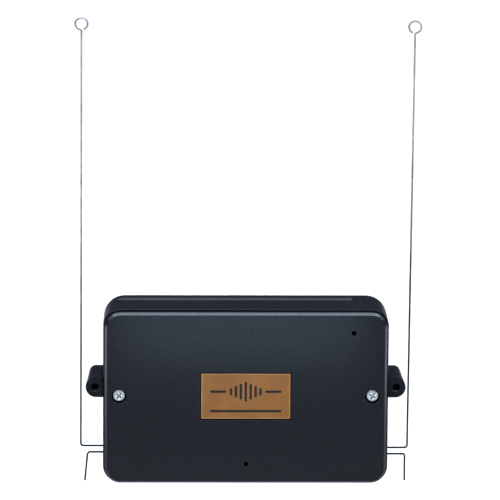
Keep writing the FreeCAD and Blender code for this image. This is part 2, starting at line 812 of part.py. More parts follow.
def make_front_cover():
    """The moulded cover: face, skirt, lip, screw cups, plate well, guides and tamper post."""
    body = new_body("FrontCover")
    size = ("box_width - 2 * cover_inset", "box_height - 2 * cover_inset", "box_corner - cover_inset")
    outline = new_sketch(body, "CoverOutline", offset="base_depth")
    add_rounded_rectangle(outline, "0", "0", *size)
    add_pad(body, "CoverBlock", outline, "cover_thick")
    dress_edges(body, "Chamfer", "FrontBevel", "cover_bevel", in_plane("y", "-cover_front"))
    dress_edges(body, "Chamfer", "ShadowBevel", "cover_shadow_bevel", in_plane("y", "-base_depth"))

    lip = new_sketch(body, "LipOutline", offset="base_depth")
    lip_size = ("box_width - 2 * lip_inset", "box_height - 2 * lip_inset", "box_corner - lip_inset")
    add_rounded_rectangle(lip, "0", "0", *lip_size)
    add_pad(body, "Lip", lip, "lip_depth", to_wall=True, draft="base_draft")
    hollow = new_sketch(body, "HollowOutline", offset="base_depth - lip_depth")
    margin = "2 * (lip_inset + lip_wall)"
    hollow_size = (f"box_width - {margin}", f"box_height - {margin}", "box_corner - lip_inset - lip_wall")
    add_rounded_rectangle(hollow, "0", "0", *hollow_size)
    add_pocket(body, "Hollow", hollow, "cover_inside - base_depth + lip_depth", to_front=True)

    cups = new_sketch(body, "CupOutline", offset="cover_inside")
    for side in ("-1", "1"):
        add_circle(cups, f"{side} * screw_spread", "screw_rise", "recess_radius + cup_wall")
    add_pad(body, "Cups", cups, "cover_inside - cup_underside", to_wall=True)
    recesses = new_sketch(body, "RecessOutline", offset="cover_front")
    for side in ("-1", "1"):
        add_circle(recesses, f"{side} * screw_spread", "screw_rise", "recess_radius")
    add_pocket(body, "Recesses", recesses, "recess_depth")
    screw_holes = new_sketch(body, "ScrewHoleOutline", offset="cover_front")
    for side in ("-1", "1"):
        add_circle(screw_holes, f"{side} * screw_spread", "screw_rise", "cover_hole_radius")
    add_pocket(body, "ScrewHoles", screw_holes)

    posts = new_sketch(body, "PostOutline", offset="cover_inside")
    add_circle(posts, "tamper_x", "tamper_z", "tamper_post_radius")
    add_pad(body, "TamperPost", posts, "cover_inside - tamper_top - tamper_post_gap", to_wall=True)
    guides = (
        ("LedGuide", "led_x", "led_z", "led_hole_radius", "led_guide_length"),
        ("ButtonGuide", "button_x", "button_z", "button_hole_radius", "button_guide_length"),
    )
    for name, x, z, radius, length in guides:
        guide = new_sketch(body, f"{name}Outline", offset="cover_inside")
        add_circle(guide, x, z, f"{radius} + led_guide_wall")
        add_pad(body, name, guide, length, to_wall=True)
        hole = new_sketch(body, f"{name}HoleOutline", offset="cover_front")
        add_circle(hole, x, z, radius)
        add_pocket(body, f"{name}Hole", hole)

    for side in ("-1", "1"):
        word = "Left" if side == "-1" else "Right"
        upright = ("rib_thick", "rib_height", "box_height - 2 * (lip_inset + lip_wall)")
        middle = (f"{side} * rib_x", "-cover_inside + rib_height / 2", f"-({upright[2]}) / 2")
        add_box(body, f"Rib{word}", upright, middle)
        word = "Low" if side == "-1" else "High"
        level = ("2 * rib_x", "rib_height", "rib_thick")
        add_box(body, f"Rib{word}", level, ("0", middle[1], f"{side} * rib_z"))

    well = new_sketch(body, "WellOutline", offset="cover_front")
    well_size = ("plate_width + 2 * well_margin_x", "plate_height + 2 * well_margin_z", "well_corner")
    add_rounded_rectangle(well, "0", "screw_rise", *well_size)
    add_pocket(body, "Well", well, "well_depth")
    finished(body, "front_cover")


def make_nameplate():
    """The thin metal plate in the cover's well."""
    body = new_body("Nameplate")
    outline = new_sketch(body, "PlateOutline", offset="cover_front - well_depth")
    add_rounded_rectangle(outline, "0", "screw_rise", "plate_width", "plate_height", "plate_corner")
    add_pad(body, "Plate", outline, "plate_thick")
    finished(body, "nameplate")


def make_cover_screws():
    """Two pan-head cross-slot screws, each as it stood after it was driven."""
    profile = [
        ("0", "-screw_length"),
        ("screw_tip_radius", "-screw_length"),
        ("screw_shank_radius", "-screw_length + screw_tip_length"),
        ("screw_shank_radius", "0"),
        ("screw_head_radius", "0"),
        ("screw_head_radius", "screw_rim_height", "crown_radius"),
        ("0", "screw_head_height"),
    ]
    screws = []
    for side, word in (("-1", "left"), ("1", "right")):
        name = f"CoverScrew{word.capitalize()}"
        seat = (f"{side} * screw_spread", "-cover_front + recess_depth", "screw_rise")
        body = turned(name, profile, FRONTWARD, seat)
        turn = number(f"cross_turn_{word}")
        for arm in (0, 1):
            slot = body.newObject("PartDesign::SubtractiveBox", f"{name}Arm{arm}")
            slot.setExpression("Length", tie("cross_span"))
            slot.setExpression("Width", tie("cross_width"))
            slot.setExpression("Height", tie("cross_depth"))
            rotation = FreeCAD.Rotation(V(0, 0, 1), 90 * arm - turn)
            corner = V(number("-cross_span / 2"), number("-cross_width / 2"), 0)
            shift = rotation.multVec(corner)
            slot.Placement = FreeCAD.Placement(V(shift.x, shift.y, 0), rotation)
            slot.setExpression("Placement.Base.z", tie("screw_head_height - cross_depth"))
            doc.recompute()
        screws.append(body)
    finished(grouped("CoverScrews", screws), "cover_screws")


# Circuit board

def make_circuit_board():
    """The board, notched at the top to clear the cable opening."""
    body = new_body("CircuitBoard")
    outline = new_sketch(body, "BoardOutline", offset="board_rear")
    notch_left = "cable_x - cable_width / 2 - board_notch_margin"
    notch_right = "cable_x + cable_width / 2 + board_notch_margin"
    add_outline(outline, [
        ("-board_half", "-board_low"),
        ("board_half", "-board_low"),
        ("board_half", "board_top"),
        (notch_right, "board_top"),
        (notch_right, "notch_low"),
        (notch_left, "notch_low"),
        (notch_left, "board_top"),
        ("-board_half", "board_top"),
    ])
    for x, z in board_screw_places():
        add_circle(outline, x, z, "board_hole_radius")
    add_pad(body, "Board", outline, "board_thick")
    finished(body, "circuit_board")


def make_board_screws():
    """Four small screws that hold the board to its standoffs."""
    profile = [
        ("0", "-board_screw_length"),
        ("board_screw_radius", "-board_screw_length"),
        ("board_screw_radius", "0"),
        ("board_screw_head_radius", "0"),
        ("board_screw_head_radius", "board_screw_head_height"),
        ("0", "board_screw_head_height"),
    ]
    screws = []
    for k, (x, z) in enumerate(board_screw_places()):
        body = turned(f"BoardScrew{k}", profile, FRONTWARD, (x, "-board_front", z))
        slot = ("3 * board_screw_head_radius", "board_slot_width", "board_slot_depth")
        low = "board_screw_head_height - board_slot_depth"
        add_box(body, f"BoardScrewSlot{k}", slot, ("0", "0", low), cut=True)
        screws.append(body)
    finished(grouped("BoardScrews", screws), "board_screws")


# Aerial wires

def bent_wire(name, route_maker, side, upper_wire, row):
    """A round wire along a route in the plane of the wires; the left ones are turned about."""
    rotation = LEVEL if side == "right" else HALF_TURN
    body = new_body(name, rotation, ("0", "-wire_depth", "0"))
    route = new_sketch(body, f"{name}Route")
    route_maker(route, side, f"-{upper_wire} - {row} * terminal_pitch")
    section = new_sketch(body, f"{name}Section", "YZ_Plane", "wire_end")
    add_circle(section, "0", f"-{upper_wire} - {row} * terminal_pitch", "wire_radius")
    doc.recompute()
    pipe = body.newObject("PartDesign::AdditivePipe", f"{name}Wire")
    pipe.Profile = section
    pipe.Spine = (route, [f"Edge{k + 1}" for k in range(route.GeometryCount)])
    doc.recompute()
    return body


def long_route(route, side, leg):
    """Leg, bend, tall stem, hook and eyelet of a receiving aerial."""
    stem, lean, centre = f"{side}_stem_x", f"{side}_stem_lean", f"{side}_ring_z"
    x, z, top = number(stem), number(leg), number(f"{centre} - hook_drop")
    bend, hook, ring = number("long_bend_radius"), number("hook_radius"), number("ring_radius")
    tip = x + (top - z) * math.tan(math.radians(number(lean)))
    joint = math.acos(hook / (ring + hook))
    gap = math.asin(number("ring_gap") / ring)
    up = V(0, 0, 1)
    route.addGeometry([
        Part.LineSegment(V(number("wire_end"), z, 0), V(x - bend, z, 0)),
        Part.ArcOfCircle(Part.Circle(V(x - bend, z + bend, 0), up, bend), -math.pi / 2, 0),
        Part.LineSegment(V(x, z + bend, 0), V(tip, top, 0)),
        Part.ArcOfCircle(Part.Circle(V(tip + hook, top, 0), up, hook), math.pi - joint, math.pi),
        Part.ArcOfCircle(Part.Circle(V(tip, number(centre), 0), up, ring), -joint, 3 * math.pi / 2 - gap),
    ], False)
    fix = Sketcher.Constraint
    route.addConstraint([
        fix("Horizontal", 0),
        fix("Tangent", 0, 2, 1, 1),
        fix("Tangent", 1, 2, 2, 1),
        fix("Tangent", 2, 2, 3, 2),
        fix("Tangent", 3, 1, 4, 1),
    ])
    bind_point(route, 0, 1, "wire_end", leg)
    bind(route, "long_bend_radius", "Radius", 1)
    bind(route, stem, "DistanceX", -1, 1, 1, 2)
    bind(route, f"90 - {lean}", "Angle", 2)
    bind(route, "hook_radius", "Radius", 3)
    bind(route, "ring_radius", "Radius", 4)
    bind(route, centre, "DistanceY", -1, 1, 4, 3)
    bind(route, "0", "DistanceX", 2, 2, 4, 3)
    bind(route, "ring_gap", "DistanceX", 4, 2, 4, 3)


def short_route(route, side, leg):
    """Leg, bend and hanging end of a counterpoise wire."""
    stem, lean, radius = f"{side}_short_x", f"{side}_short_lean", f"{side}_short_bend"
    x, z, bend = number(stem), number(leg), number(radius)
    low = -number(f"{side}_short_tip")
    tip = x + (z - low) * math.tan(math.radians(number(lean)))
    route.addGeometry([
        Part.LineSegment(V(number("wire_end"), z, 0), V(x - bend, z, 0)),
        Part.ArcOfCircle(Part.Circle(V(x - bend, z - bend, 0), V(0, 0, 1), bend), 0, math.pi / 2),
        Part.LineSegment(V(x, z - bend, 0), V(tip, low, 0)),
    ], False)
    fix = Sketcher.Constraint
    route.addConstraint([fix("Horizontal", 0), fix("Tangent", 0, 2, 1, 2), fix("Tangent", 1, 1, 2, 1)])
    bind_point(route, 0, 1, "wire_end", leg)
    bind(route, radius, "Radius", 1)
    bind(route, stem, "DistanceX", -1, 1, 1, 1)
    bind(route, f"{lean} - 90", "Angle", 2)
    bind(route, f"-{side}_short_tip", "DistanceY", -1, 1, 2, 2)


def make_aerials():
    """Two long aerials and two short counterpoise wires."""
    for side in ("left", "right"):
        word = side.capitalize()
        long_wire = bent_wire(f"{word}Aerial", long_route, side, f"{side}_wire_z", 0)
        finished(long_wire, f"{side}_aerial")
        short_wire = bent_wire(f"{word}Counterpoise", short_route, side, f"{side}_wire_z", 1)
        finished(short_wire, f"{side}_counterpoise")


# Terminals, each in a frame of its own: the wires enter at its height 0, the screws face -Y

def terminal_screw(name, x, z, radius, low, high):
    """A slotted clamp screw, from its tip to its head."""
    shank = cylinder(f"{name}Shank", radius, f"{high} - ({low})", (x, f"-({low})", z), FRONTWARD)
    slot = box(f"{name}Slot", (f"3 * {radius}", "2 * clamp_slot_depth", "clamp_slot_width"),
               (x, f"-({high})", f"{z} - clamp_slot_width / 2"))
    return cut_from(name, shank, [slot])


def terminal_block(name, ways, pitch, margin, rise, bore, entry, clamp, rotation, at, square=False):
    """A row of wire clamps and its screws, with round or square wire holes."""
    width = f"({ways} - 1) * {pitch} + 2 * {margin}"
    stock = box(f"{name}Stock", (width, "terminal_depth", "terminal_length"),
                ("0", "-terminal_depth / 2", "-terminal_length"))
    tools = []
    screws = []
    for k in range(whole(ways)):
        x = f"({k} - ({ways} - 1) / 2) * {pitch}"
        tools.append(box(f"{name}Entry{k}", (entry, entry, "terminal_entry_depth"),
                         (x, f"-({rise})", "-terminal_entry_depth")))
        base = (x, f"-({rise})", "-wire_reach - bore_end_gap")
        if square:
            tools.append(box(f"{name}Bore{k}", (f"2 * {bore}", f"2 * {bore}", "wire_reach + bore_end_gap"), base))
        else:
            tools.append(cylinder(f"{name}Bore{k}", bore, "wire_reach + bore_end_gap", base))
        tools.append(cylinder(f"{name}Well{k}", f"{clamp} + clamp_well_gap", f"terminal_depth - ({rise})",
                              (x, f"-({rise})", "-clamp_back"), FRONTWARD))
        tip = f"{rise} + {bore} + clamp_wire_gap"
        screws.append(terminal_screw(f"{name}Screw{k}", x, "-clamp_back", clamp, tip,
                                     "terminal_depth - clamp_sink"))
    block = cut_from(name, stock, tools)
    place(block, rotation, at)
    row = grouped(f"{name}Screws", screws)
    place(row, rotation, at)
    return block, row


def make_terminals():
    """One two-way terminal for each side's wires, and a four-way one for the bus cable."""
    rows = []
    for side, sign, turn in (("left", "-1", LEFTWARD), ("right", "1", RIGHTWARD)):
        at = (f"{sign} * terminal_face_x", "-board_front", f"-{side}_wire_z - terminal_pitch / 2")
        block, row = terminal_block(
            f"{side.capitalize()}Terminal", "2", "terminal_pitch", "terminal_margin", "wire_rise",
            "wire_radius + wire_clearance", "terminal_entry", "clamp_radius", turn, at)
        finished(block, f"{side}_aerial_terminal")
        rows.append(row)
    finished(grouped("AerialClampScrews", rows), "aerial_clamp_screws")
    block, row = terminal_block(
        "BusTerminal", "bus_ways", "bus_pitch", "bus_margin", "bus_rise", "bus_bore_radius",
        "bus_entry", "bus_clamp_radius", LEVEL, ("cable_x", "-board_front", "bus_face_z"), square=True)
    finished(block, "bus_terminal")
    finished(row, "bus_clamp_screws")


# Parts that stand on the board, each in a frame of its own: +Z is away from the board

def on_board(x, z, rise="0"):
    """A place on the board's front, or a rise away from it."""
    return (x, f"-board_front - {rise}", z)


def make_processor():
    """A square chip in a square socket."""
    socket = new_body("ProcessorSocket", FRONTWARD, on_board("chip_x", "chip_z"))
    add_box(socket, "SocketBlock", ("socket_side", "socket_side", "socket_depth"), ("0", "0", "0"))
    dress_edges(socket, "Chamfer", "SocketCorner", "socket_corner_cut",
                upright_at("-socket_side / 2", "socket_side / 2"))
    inner = "socket_side - 2 * socket_wall"
    add_box(socket, "SocketWell", (inner, inner, "socket_depth"), ("0", "0", "socket_floor"), cut=True)
    finished(socket, "processor_socket")

    chip = new_body("Processor", FRONTWARD, on_board("chip_x", "chip_z", "socket_floor"))
    add_box(chip, "ChipBlock", ("chip_side", "chip_side", "chip_thick"), ("0", "0", "0"))
    dress_edges(chip, "Chamfer", "ChipCorner", "socket_corner_cut / 2", upright_at("-chip_side / 2", "chip_side / 2"))
    count = whole("chip_contact_count")
    contact = ("chip_gap", "chip_contact_width", "chip_thick - 1")
    for side, sign in (("Left", "-1"), ("Right", "1")):
        for k in range(count):
            along = f"({k} - ({count} - 1) / 2) * chip_contact_pitch"
            middle = (f"{sign} * (chip_side / 2)", along, "0.5")
            add_box(chip, f"Contact{side}{k}", contact, middle)
    finished(chip, "processor")


def dual_row_chip(name, x, z, length, width, thick, rise, ways):
    """A moulded chip with a row of bent pins on each long side."""
    stock = box(f"{name}Stock", (width, length, thick), ("0", "0", rise))
    notch = cylinder(f"{name}Notch", "memory_notch_radius", thick, ("0", f"{length} / 2", f"{thick} - 1 + {rise}"))
    pins = []
    for sign in ("-1", "1"):
        for k in range(ways):
            along = f"({k} - ({ways} - 1) / 2) * pin_pitch"
            reach = f"{sign} * ({width} + pin_thick) / 2"
            pins.append(box(f"{name}Pin{sign}{k}".replace("-", "L"), ("pin_thick", "pin_width", f"{thick} / 2 + {rise}"),
                            (reach, along, "0")))
    chip = fused(name, [cut_from(f"{name}Case", stock, [notch])] + pins)
    place(chip, FRONTWARD, on_board(x, z))
    return chip


def make_memory_and_crystal():
    """The memory chip and the clock crystal."""
    memory = dual_row_chip("MemoryChip", "chip_x + memory_right", "chip_z + memory_above", "memory_length", "memory_width",
                           "memory_thick", "memory_rise", 4)
    finished(memory, "memory_chip")
    can = new_body("Crystal", FRONTWARD, on_board("chip_x + memory_right", "chip_z - crystal_below"))
    steps = (("CrystalBase", "crystal_flange", "crystal_flange", "0"),
             ("CrystalCan", "0", "crystal_height", "crystal_flange"))
    for name, grow, height, low in steps:
        outline = new_sketch(can, f"{name}Outline", "XY_Plane", low)
        size = (f"crystal_length + 2 * {grow}", f"crystal_width + 2 * {grow}", f"crystal_width / 2.05 + {grow}")
        add_rounded_rectangle(outline, "0", "0", *size)
        add_pad(can, name, outline, height)
    finished(can, "crystal")


def make_radio_shields():
    """A folded screening can over each radio section."""
    for side, sign in (("left", "-1"), ("right", "1")):
        name = f"{side.capitalize()}Shield"
        body = new_body(name, FRONTWARD, on_board(f"{sign} * shield_x", "shield_z"))
        add_box(body, f"{name}Block", ("shield_width", "shield_height", "shield_depth"), ("0", "0", "0"))
        dress_edges(body, "Fillet", f"{name}Fold", "shield_fold", in_plane("z", "shield_depth"))
        inner = ("shield_width - 2 * shield_sheet", "shield_height - 2 * shield_sheet", "shield_depth - shield_sheet")
        add_box(body, f"{name}Hollow", inner, ("0", "0", "0"), cut=True)
        for k, place_up in enumerate(("-tuning_hole_spread", "tuning_hole_spread")):
            add_cylinder(body, f"{name}Tuning{k}", "tuning_hole_radius", "2 * shield_depth",
                         ("0", place_up, "shield_depth / 2"), cut=True)
        finished(body, f"{side}_radio_shield")


def make_power_parts():
    """The voltage regulator and two electrolytic capacitors."""
    rise = "regulator_leg_length"
    case = box("RegulatorCase", ("regulator_width", "regulator_thick", "regulator_height"),
               ("0", "regulator_thick / 2 + regulator_tab_thick", rise))
    tab = box("RegulatorTab", ("regulator_width", "regulator_tab_thick", "regulator_height + regulator_tab"),
              ("0", "regulator_tab_thick / 2", rise))
    legs = [
        box(f"RegulatorLeg{k}", ("regulator_leg_width", "regulator_leg_width / 2", "regulator_leg_length"),
            (f"({k} - 1) * pin_pitch", "regulator_thick / 2 + regulator_tab_thick", "0"))
        for k in range(3)
    ]
    hole = cylinder("RegulatorHole", "regulator_hole_radius", "4 * regulator_thick",
                    ("0", "2 * regulator_thick", f"{rise} + regulator_height + regulator_tab / 2"), FRONTWARD)
    regulator = fused("Regulator", [case, cut_from("RegulatorPlate", tab, [hole])] + legs)
    place(regulator, FRONTWARD, on_board("regulator_x", "power_z"))
    finished(regulator, "voltage_regulator")

    cans = []
    for word in ("big", "small"):
        radius, height = f"{word}_can_radius", f"{word}_can_height"
        profile = [
            ("0", "0"),
            (radius, "0"),
            (radius, f"{height} - can_round"),
            (f"{radius} - can_round", height),
            ("0", height),
        ]
        cans.append(turned(f"{word.capitalize()}Can", profile, FRONTWARD, on_board(f"{word}_can_x", "power_z")))
    finished(grouped("Capacitors", cans), "filter_capacitors")


def make_status_light():
    """A light on a spacer tube, behind its hole in the cover."""
    spacer = [
        ("led_radius / 2", "0"),
        ("led_flange_radius", "0"),
        ("led_flange_radius", "led_spacer_height"),
        ("led_radius / 2", "led_spacer_height"),
    ]
    finished(turned("LedSpacer", spacer, FRONTWARD, on_board("led_x", "led_z")), "led_spacer")
    light = [
        ("0", "0"),
        ("led_flange_radius", "0"),
        ("led_flange_radius", "led_flange_height"),
        ("led_radius", "led_flange_height"),
        ("led_radius", "led_body_height", "led_radius"),
        ("0", "led_body_height + led_radius"),
    ]
    finished(turned("StatusLed", light, FRONTWARD, on_board("led_x", "led_z", "led_spacer_height")), "status_led")


def make_button():
    """The enrol switch, pressed with a pin through its hole in the cover."""
    case = new_body("ButtonCase", FRONTWARD, on_board("button_x", "button_z"))
    add_box(case, "ButtonBlock", ("button_case", "button_case", "button_case_depth"), ("0", "0", "0"))
    dress_edges(case, "Chamfer", "ButtonBevel", "case_bevel", in_plane("z", "button_case_depth"))
    bore = "button_radius + button_clearance"
    floor = "button_foot - button_travel - button_clearance"
    add_cylinder(case, "ButtonBore", bore, "button_case_depth", ("0", "0", floor), cut=True)
    finished(case, "enrol_switch")
    plunger = [
        ("0", "button_foot"),
        ("button_radius", "button_foot"),
        ("button_radius", "button_height - can_round"),
        ("button_radius - can_round", "button_height"),
        ("0", "button_height"),
    ]
    finished(turned("ButtonPlunger", plunger, FRONTWARD, on_board("button_x", "button_z")), "enrol_button")


def make_tamper_switch():
    """The switch that a post inside the cover holds down."""
    case = new_body("TamperCase", FRONTWARD, on_board("tamper_x", "tamper_z"))
    size = ("tamper_case_width", "tamper_case_width", "tamper_case_depth")
    add_box(case, "TamperBlock", size, ("0", "0", "0"))
    dress_edges(case, "Chamfer", "TamperBevel", "case_bevel", in_plane("z", "tamper_case_depth"))
    bore = "tamper_radius + tamper_clearance"
    add_cylinder(case, "TamperBore", bore, "tamper_case_depth", ("0", "0", "tamper_foot - tamper_clearance"), cut=True)
    finished(case, "tamper_switch")
    plunger = [
        ("0", "tamper_foot"),
        ("tamper_radius", "tamper_foot"),
        ("tamper_radius", "tamper_case_depth + tamper_out - can_round"),
        ("tamper_radius - can_round", "tamper_case_depth + tamper_out"),
        ("0", "tamper_case_depth + tamper_out"),
    ]
    finished(turned("TamperPlunger", plunger, FRONTWARD, on_board("tamper_x", "tamper_z")), "tamper_plunger")


def make_address_switch():
    """A row of small slide switches and their sliders."""
    count = whole("address_ways")
    height = "(address_ways - 1) * pin_pitch + 2 * address_margin"
    case = new_body("AddressCase", FRONTWARD, on_board("address_x", "address_rise - board_low"))
    add_box(case, "AddressBlock", ("address_width", height, "address_depth"), ("0", "0", "0"))
    for k in range(count):
        along = f"({k} - (address_ways - 1) / 2) * pin_pitch"
        slot = ("slot_length", "slot_width", "slot_depth")
        add_box(case, f"Slot{k}", slot, ("0", along, "address_depth - slot_depth"), cut=True)
    finished(case, "address_switch")
    for k in range(count):
        along = f"({k} - (address_ways - 1) / 2) * pin_pitch"
        slider = new_body(f"Slider{k}", FRONTWARD, on_board("address_x", "address_rise - board_low"))
        size = ("slider_length", "slot_width - 2 * slider_clearance", "slot_depth - slider_clearance + slider_proud")
        at = ("(slider_length - slot_length) / 2 + slider_clearance", along,
              "address_depth - slot_depth + slider_clearance")
        add_box(slider, f"SliderBlock{k}", size, at)
        finished(slider, f"address_slider_{k + 1}")


def make_small_parts():
    """Resistors, resistor networks, disc capacitors and a jumper."""
    networks = []
    for k in range(2):
        body = new_body(f"Network{k}", FRONTWARD, on_board("chip_x", f"network_z + {k} * network_spacing"))
        add_box(body, f"NetworkBlock{k}", ("network_length", "network_thick", "network_height"), ("0", "0", "0"))
        dress_edges(body, "Fillet", f"NetworkRound{k}", "network_round", in_plane("z", "network_height"))
        networks.append(body)
    finished(grouped("Networks", networks), "resistor_networks")

    resistors = []
    level = "resistor_rise - board_low"
    for k in range(whole("resistor_count")):
        x = f"resistor_x + {k} * resistor_pitch"
        case = cylinder(f"ResistorCase{k}", "resistor_radius", "resistor_length",
                        (x, "-board_front - resistor_radius", f"{level} - resistor_length / 2"))
        lead = box(f"ResistorLead{k}", ("lead_thick", "lead_thick", "resistor_span"),
                   (x, "-board_front - resistor_radius", f"{level} - resistor_span / 2"))
        feet = [
            box(f"ResistorFoot{k}{end}", ("lead_thick", "resistor_radius", "lead_thick"),
                (x, "-board_front - resistor_radius / 2",
                 f"{level} + ({end} - 0.5) * (resistor_span - lead_thick) - lead_thick / 2"))
            for end in (0, 1)
        ]
        resistors.append(fused(f"Resistor{k}", [case, lead] + feet))
    finished(grouped("Resistors", resistors), "resistors")

    discs = []
    for k in range(whole("disc_count")):
        x = f"shield_x + ({k} - (disc_count - 1) / 2) * disc_pitch"
        centre = "board_front + disc_rise + disc_radius"
        disc = cylinder(f"Disc{k}", "disc_radius", "disc_thick", (x, f"-({centre})", "disc_z - disc_thick / 2"))
        legs = [
            box(f"DiscLeg{k}{end}", ("lead_thick", "disc_rise + disc_radius", "lead_thick"),
                (f"{x} + ({end} - 0.5) * disc_radius", "-board_front - (disc_rise + disc_radius) / 2",
                 "disc_z - lead_thick / 2"))
            for end in (0, 1)
        ]
        discs.append(fused(f"DiscCapacitor{k}", [disc] + legs))
    finished(grouped("Discs", discs), "ceramic_capacitors")

    ways = whole("header_ways")
    base = box("HeaderBase", ("header_ways * pin_pitch", "header_side", "header_side"), ("0", "0", "0"))
    pins = [
        box(f"HeaderPin{k}", ("header_pin", "header_pin", "header_pin_height"),
            (f"({k} - (header_ways - 1) / 2) * pin_pitch", "0", "0"))
        for k in range(ways)
    ]
    header = fused("JumperHeader", [base] + pins)
    place(header, FRONTWARD, on_board("header_x", "header_rise - board_low"))
    finished(header, "jumper_header")
    cap = box("JumperBlock", ("2 * pin_pitch - 0.1", "header_side", "jumper_height"), ("0", "0", "0"))
    wells = [
        box(f"JumperWell{k}", ("header_pin + 2 * jumper_gap", "header_pin + 2 * jumper_gap",
                               "header_pin_height - header_side + jumper_gap"),
            (f"({k} - 0.5) * pin_pitch", "0", "0"))
        for k in range(2)
    ]
    jumper = cut_from("JumperCap", cap, wells)
    place(jumper, FRONTWARD, on_board("header_x + (2 - header_ways) * pin_pitch / 2",
                                      "header_rise - board_low", "header_side"))
    finished(jumper, "jumper_cap")


def check_document():
    """Stops with a plain message if an object failed or a sub-part isn't a sound solid."""
    for item in doc.Objects:
        if "Invalid" in item.State or "Error" in item.State:
            raise RuntimeError(f"{item.Name} failed: {item.State}")
    for item in sub_parts:
        if item.Shape.isNull() or not item.Shape.isValid() or not item.Shape.Solids:
            raise RuntimeError(f"{item.Label} has no sound solid")


def write_parts():
    """Writes one STEP file for each sub-part."""
    os.makedirs("parts", exist_ok=True)
    for item in sub_parts:
        item.Shape.exportStep(f"parts/{item.Label}.step")


fill_sheet()
make_rear_housing()
make_front_cover()
make_nameplate()
make_cover_screws()
make_circuit_board()
make_board_screws()
make_aerials()
make_terminals()
make_processor()
make_memory_and_crystal()
make_radio_shields()
make_power_parts()
make_status_light()
make_button()
make_tamper_switch()
make_address_switch()
make_small_parts()
doc.recompute()
check_document()
write_parts()
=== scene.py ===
"""Looks and studio for a wall-mounted wireless alarm receiver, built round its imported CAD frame."""

import math
import random

import bmesh
import bpy
from bpy.props import FloatProperty, FloatVectorProperty, IntProperty, PointerProperty, StringProperty
from mathutils import Matrix, Vector


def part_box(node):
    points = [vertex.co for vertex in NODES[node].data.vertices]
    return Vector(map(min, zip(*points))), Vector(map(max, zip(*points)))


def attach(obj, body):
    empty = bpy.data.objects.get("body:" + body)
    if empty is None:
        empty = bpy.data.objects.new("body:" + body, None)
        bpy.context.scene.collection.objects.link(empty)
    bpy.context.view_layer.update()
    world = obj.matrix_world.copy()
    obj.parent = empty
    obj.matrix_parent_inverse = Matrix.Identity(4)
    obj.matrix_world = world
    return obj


bl_info = {
    "name": "Wireless receiver dressing",
    "version": (1, 0, 0),
    "blender": (4, 5, 0),
    "location": "View3D > Sidebar > Receiver",
    "description": "Finishes and small trim for a wall-mounted alarm receiver, with its studio",
    "category": "Object",
}

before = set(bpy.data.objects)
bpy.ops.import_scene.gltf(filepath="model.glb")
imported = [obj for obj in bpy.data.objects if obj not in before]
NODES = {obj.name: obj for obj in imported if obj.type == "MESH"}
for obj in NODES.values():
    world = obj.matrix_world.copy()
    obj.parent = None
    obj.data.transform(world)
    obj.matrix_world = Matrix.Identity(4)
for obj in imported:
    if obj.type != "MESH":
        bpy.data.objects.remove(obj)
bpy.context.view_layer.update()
MM = 0.001
PHOTO_SIDE = 500
SENSOR_WIDTH = 36.0


# Materials

def linear(code):
    """An sRGB hex colour as linear red, green, blue and alpha."""
    channels = [int(code[k:k + 2], 16) / 255 for k in (0, 2, 4)]
    curve = [c / 12.92 if c <= 0.04045 else ((c + 0.055) / 1.055) ** 2.4 for c in channels]
    return (*curve, 1.0)


def per_metre(millimetres):
    """The texture scale at which one feature has this real size."""
    return 1.0 / (millimetres * MM)


def join(tree, node, links):
    """Links sources to a node's inputs. A node given as a source stands for its first output."""
    for key, source in dict(links).items():
        tree.links.new(getattr(source, "outputs", (source,))[0], node.inputs[key])


def add(tree, kind, settings=(), links=(), stops=()):
    """Adds a node. Settings are inputs by name or number, or attributes; stops are places and hex colours."""
    node = tree.nodes.new("ShaderNode" + kind)
    for key, value in dict(settings).items():
        if isinstance(key, int) or key in node.inputs:
            node.inputs[key].default_value = value
        else:
            setattr(node, key, value)
    for k, (position, code) in enumerate(stops):
        node.color_ramp.elements[k].position = position
        node.color_ramp.elements[k].color = linear(code)
    join(tree, node, links)
    return node


def new_material(name, **values):
    """A material, its shader with even values on its sockets, and coordinates that stay with the piece."""
    material = bpy.data.materials.new(name)
    material.use_nodes = True
    tree = material.node_tree
    shader = tree.nodes["Principled BSDF"]
    for socket, value in values.items():
        shader.inputs[socket.replace("_", " ")].default_value = value
    return material, tree, shader, add(tree, "TexCoord").outputs["Object"]


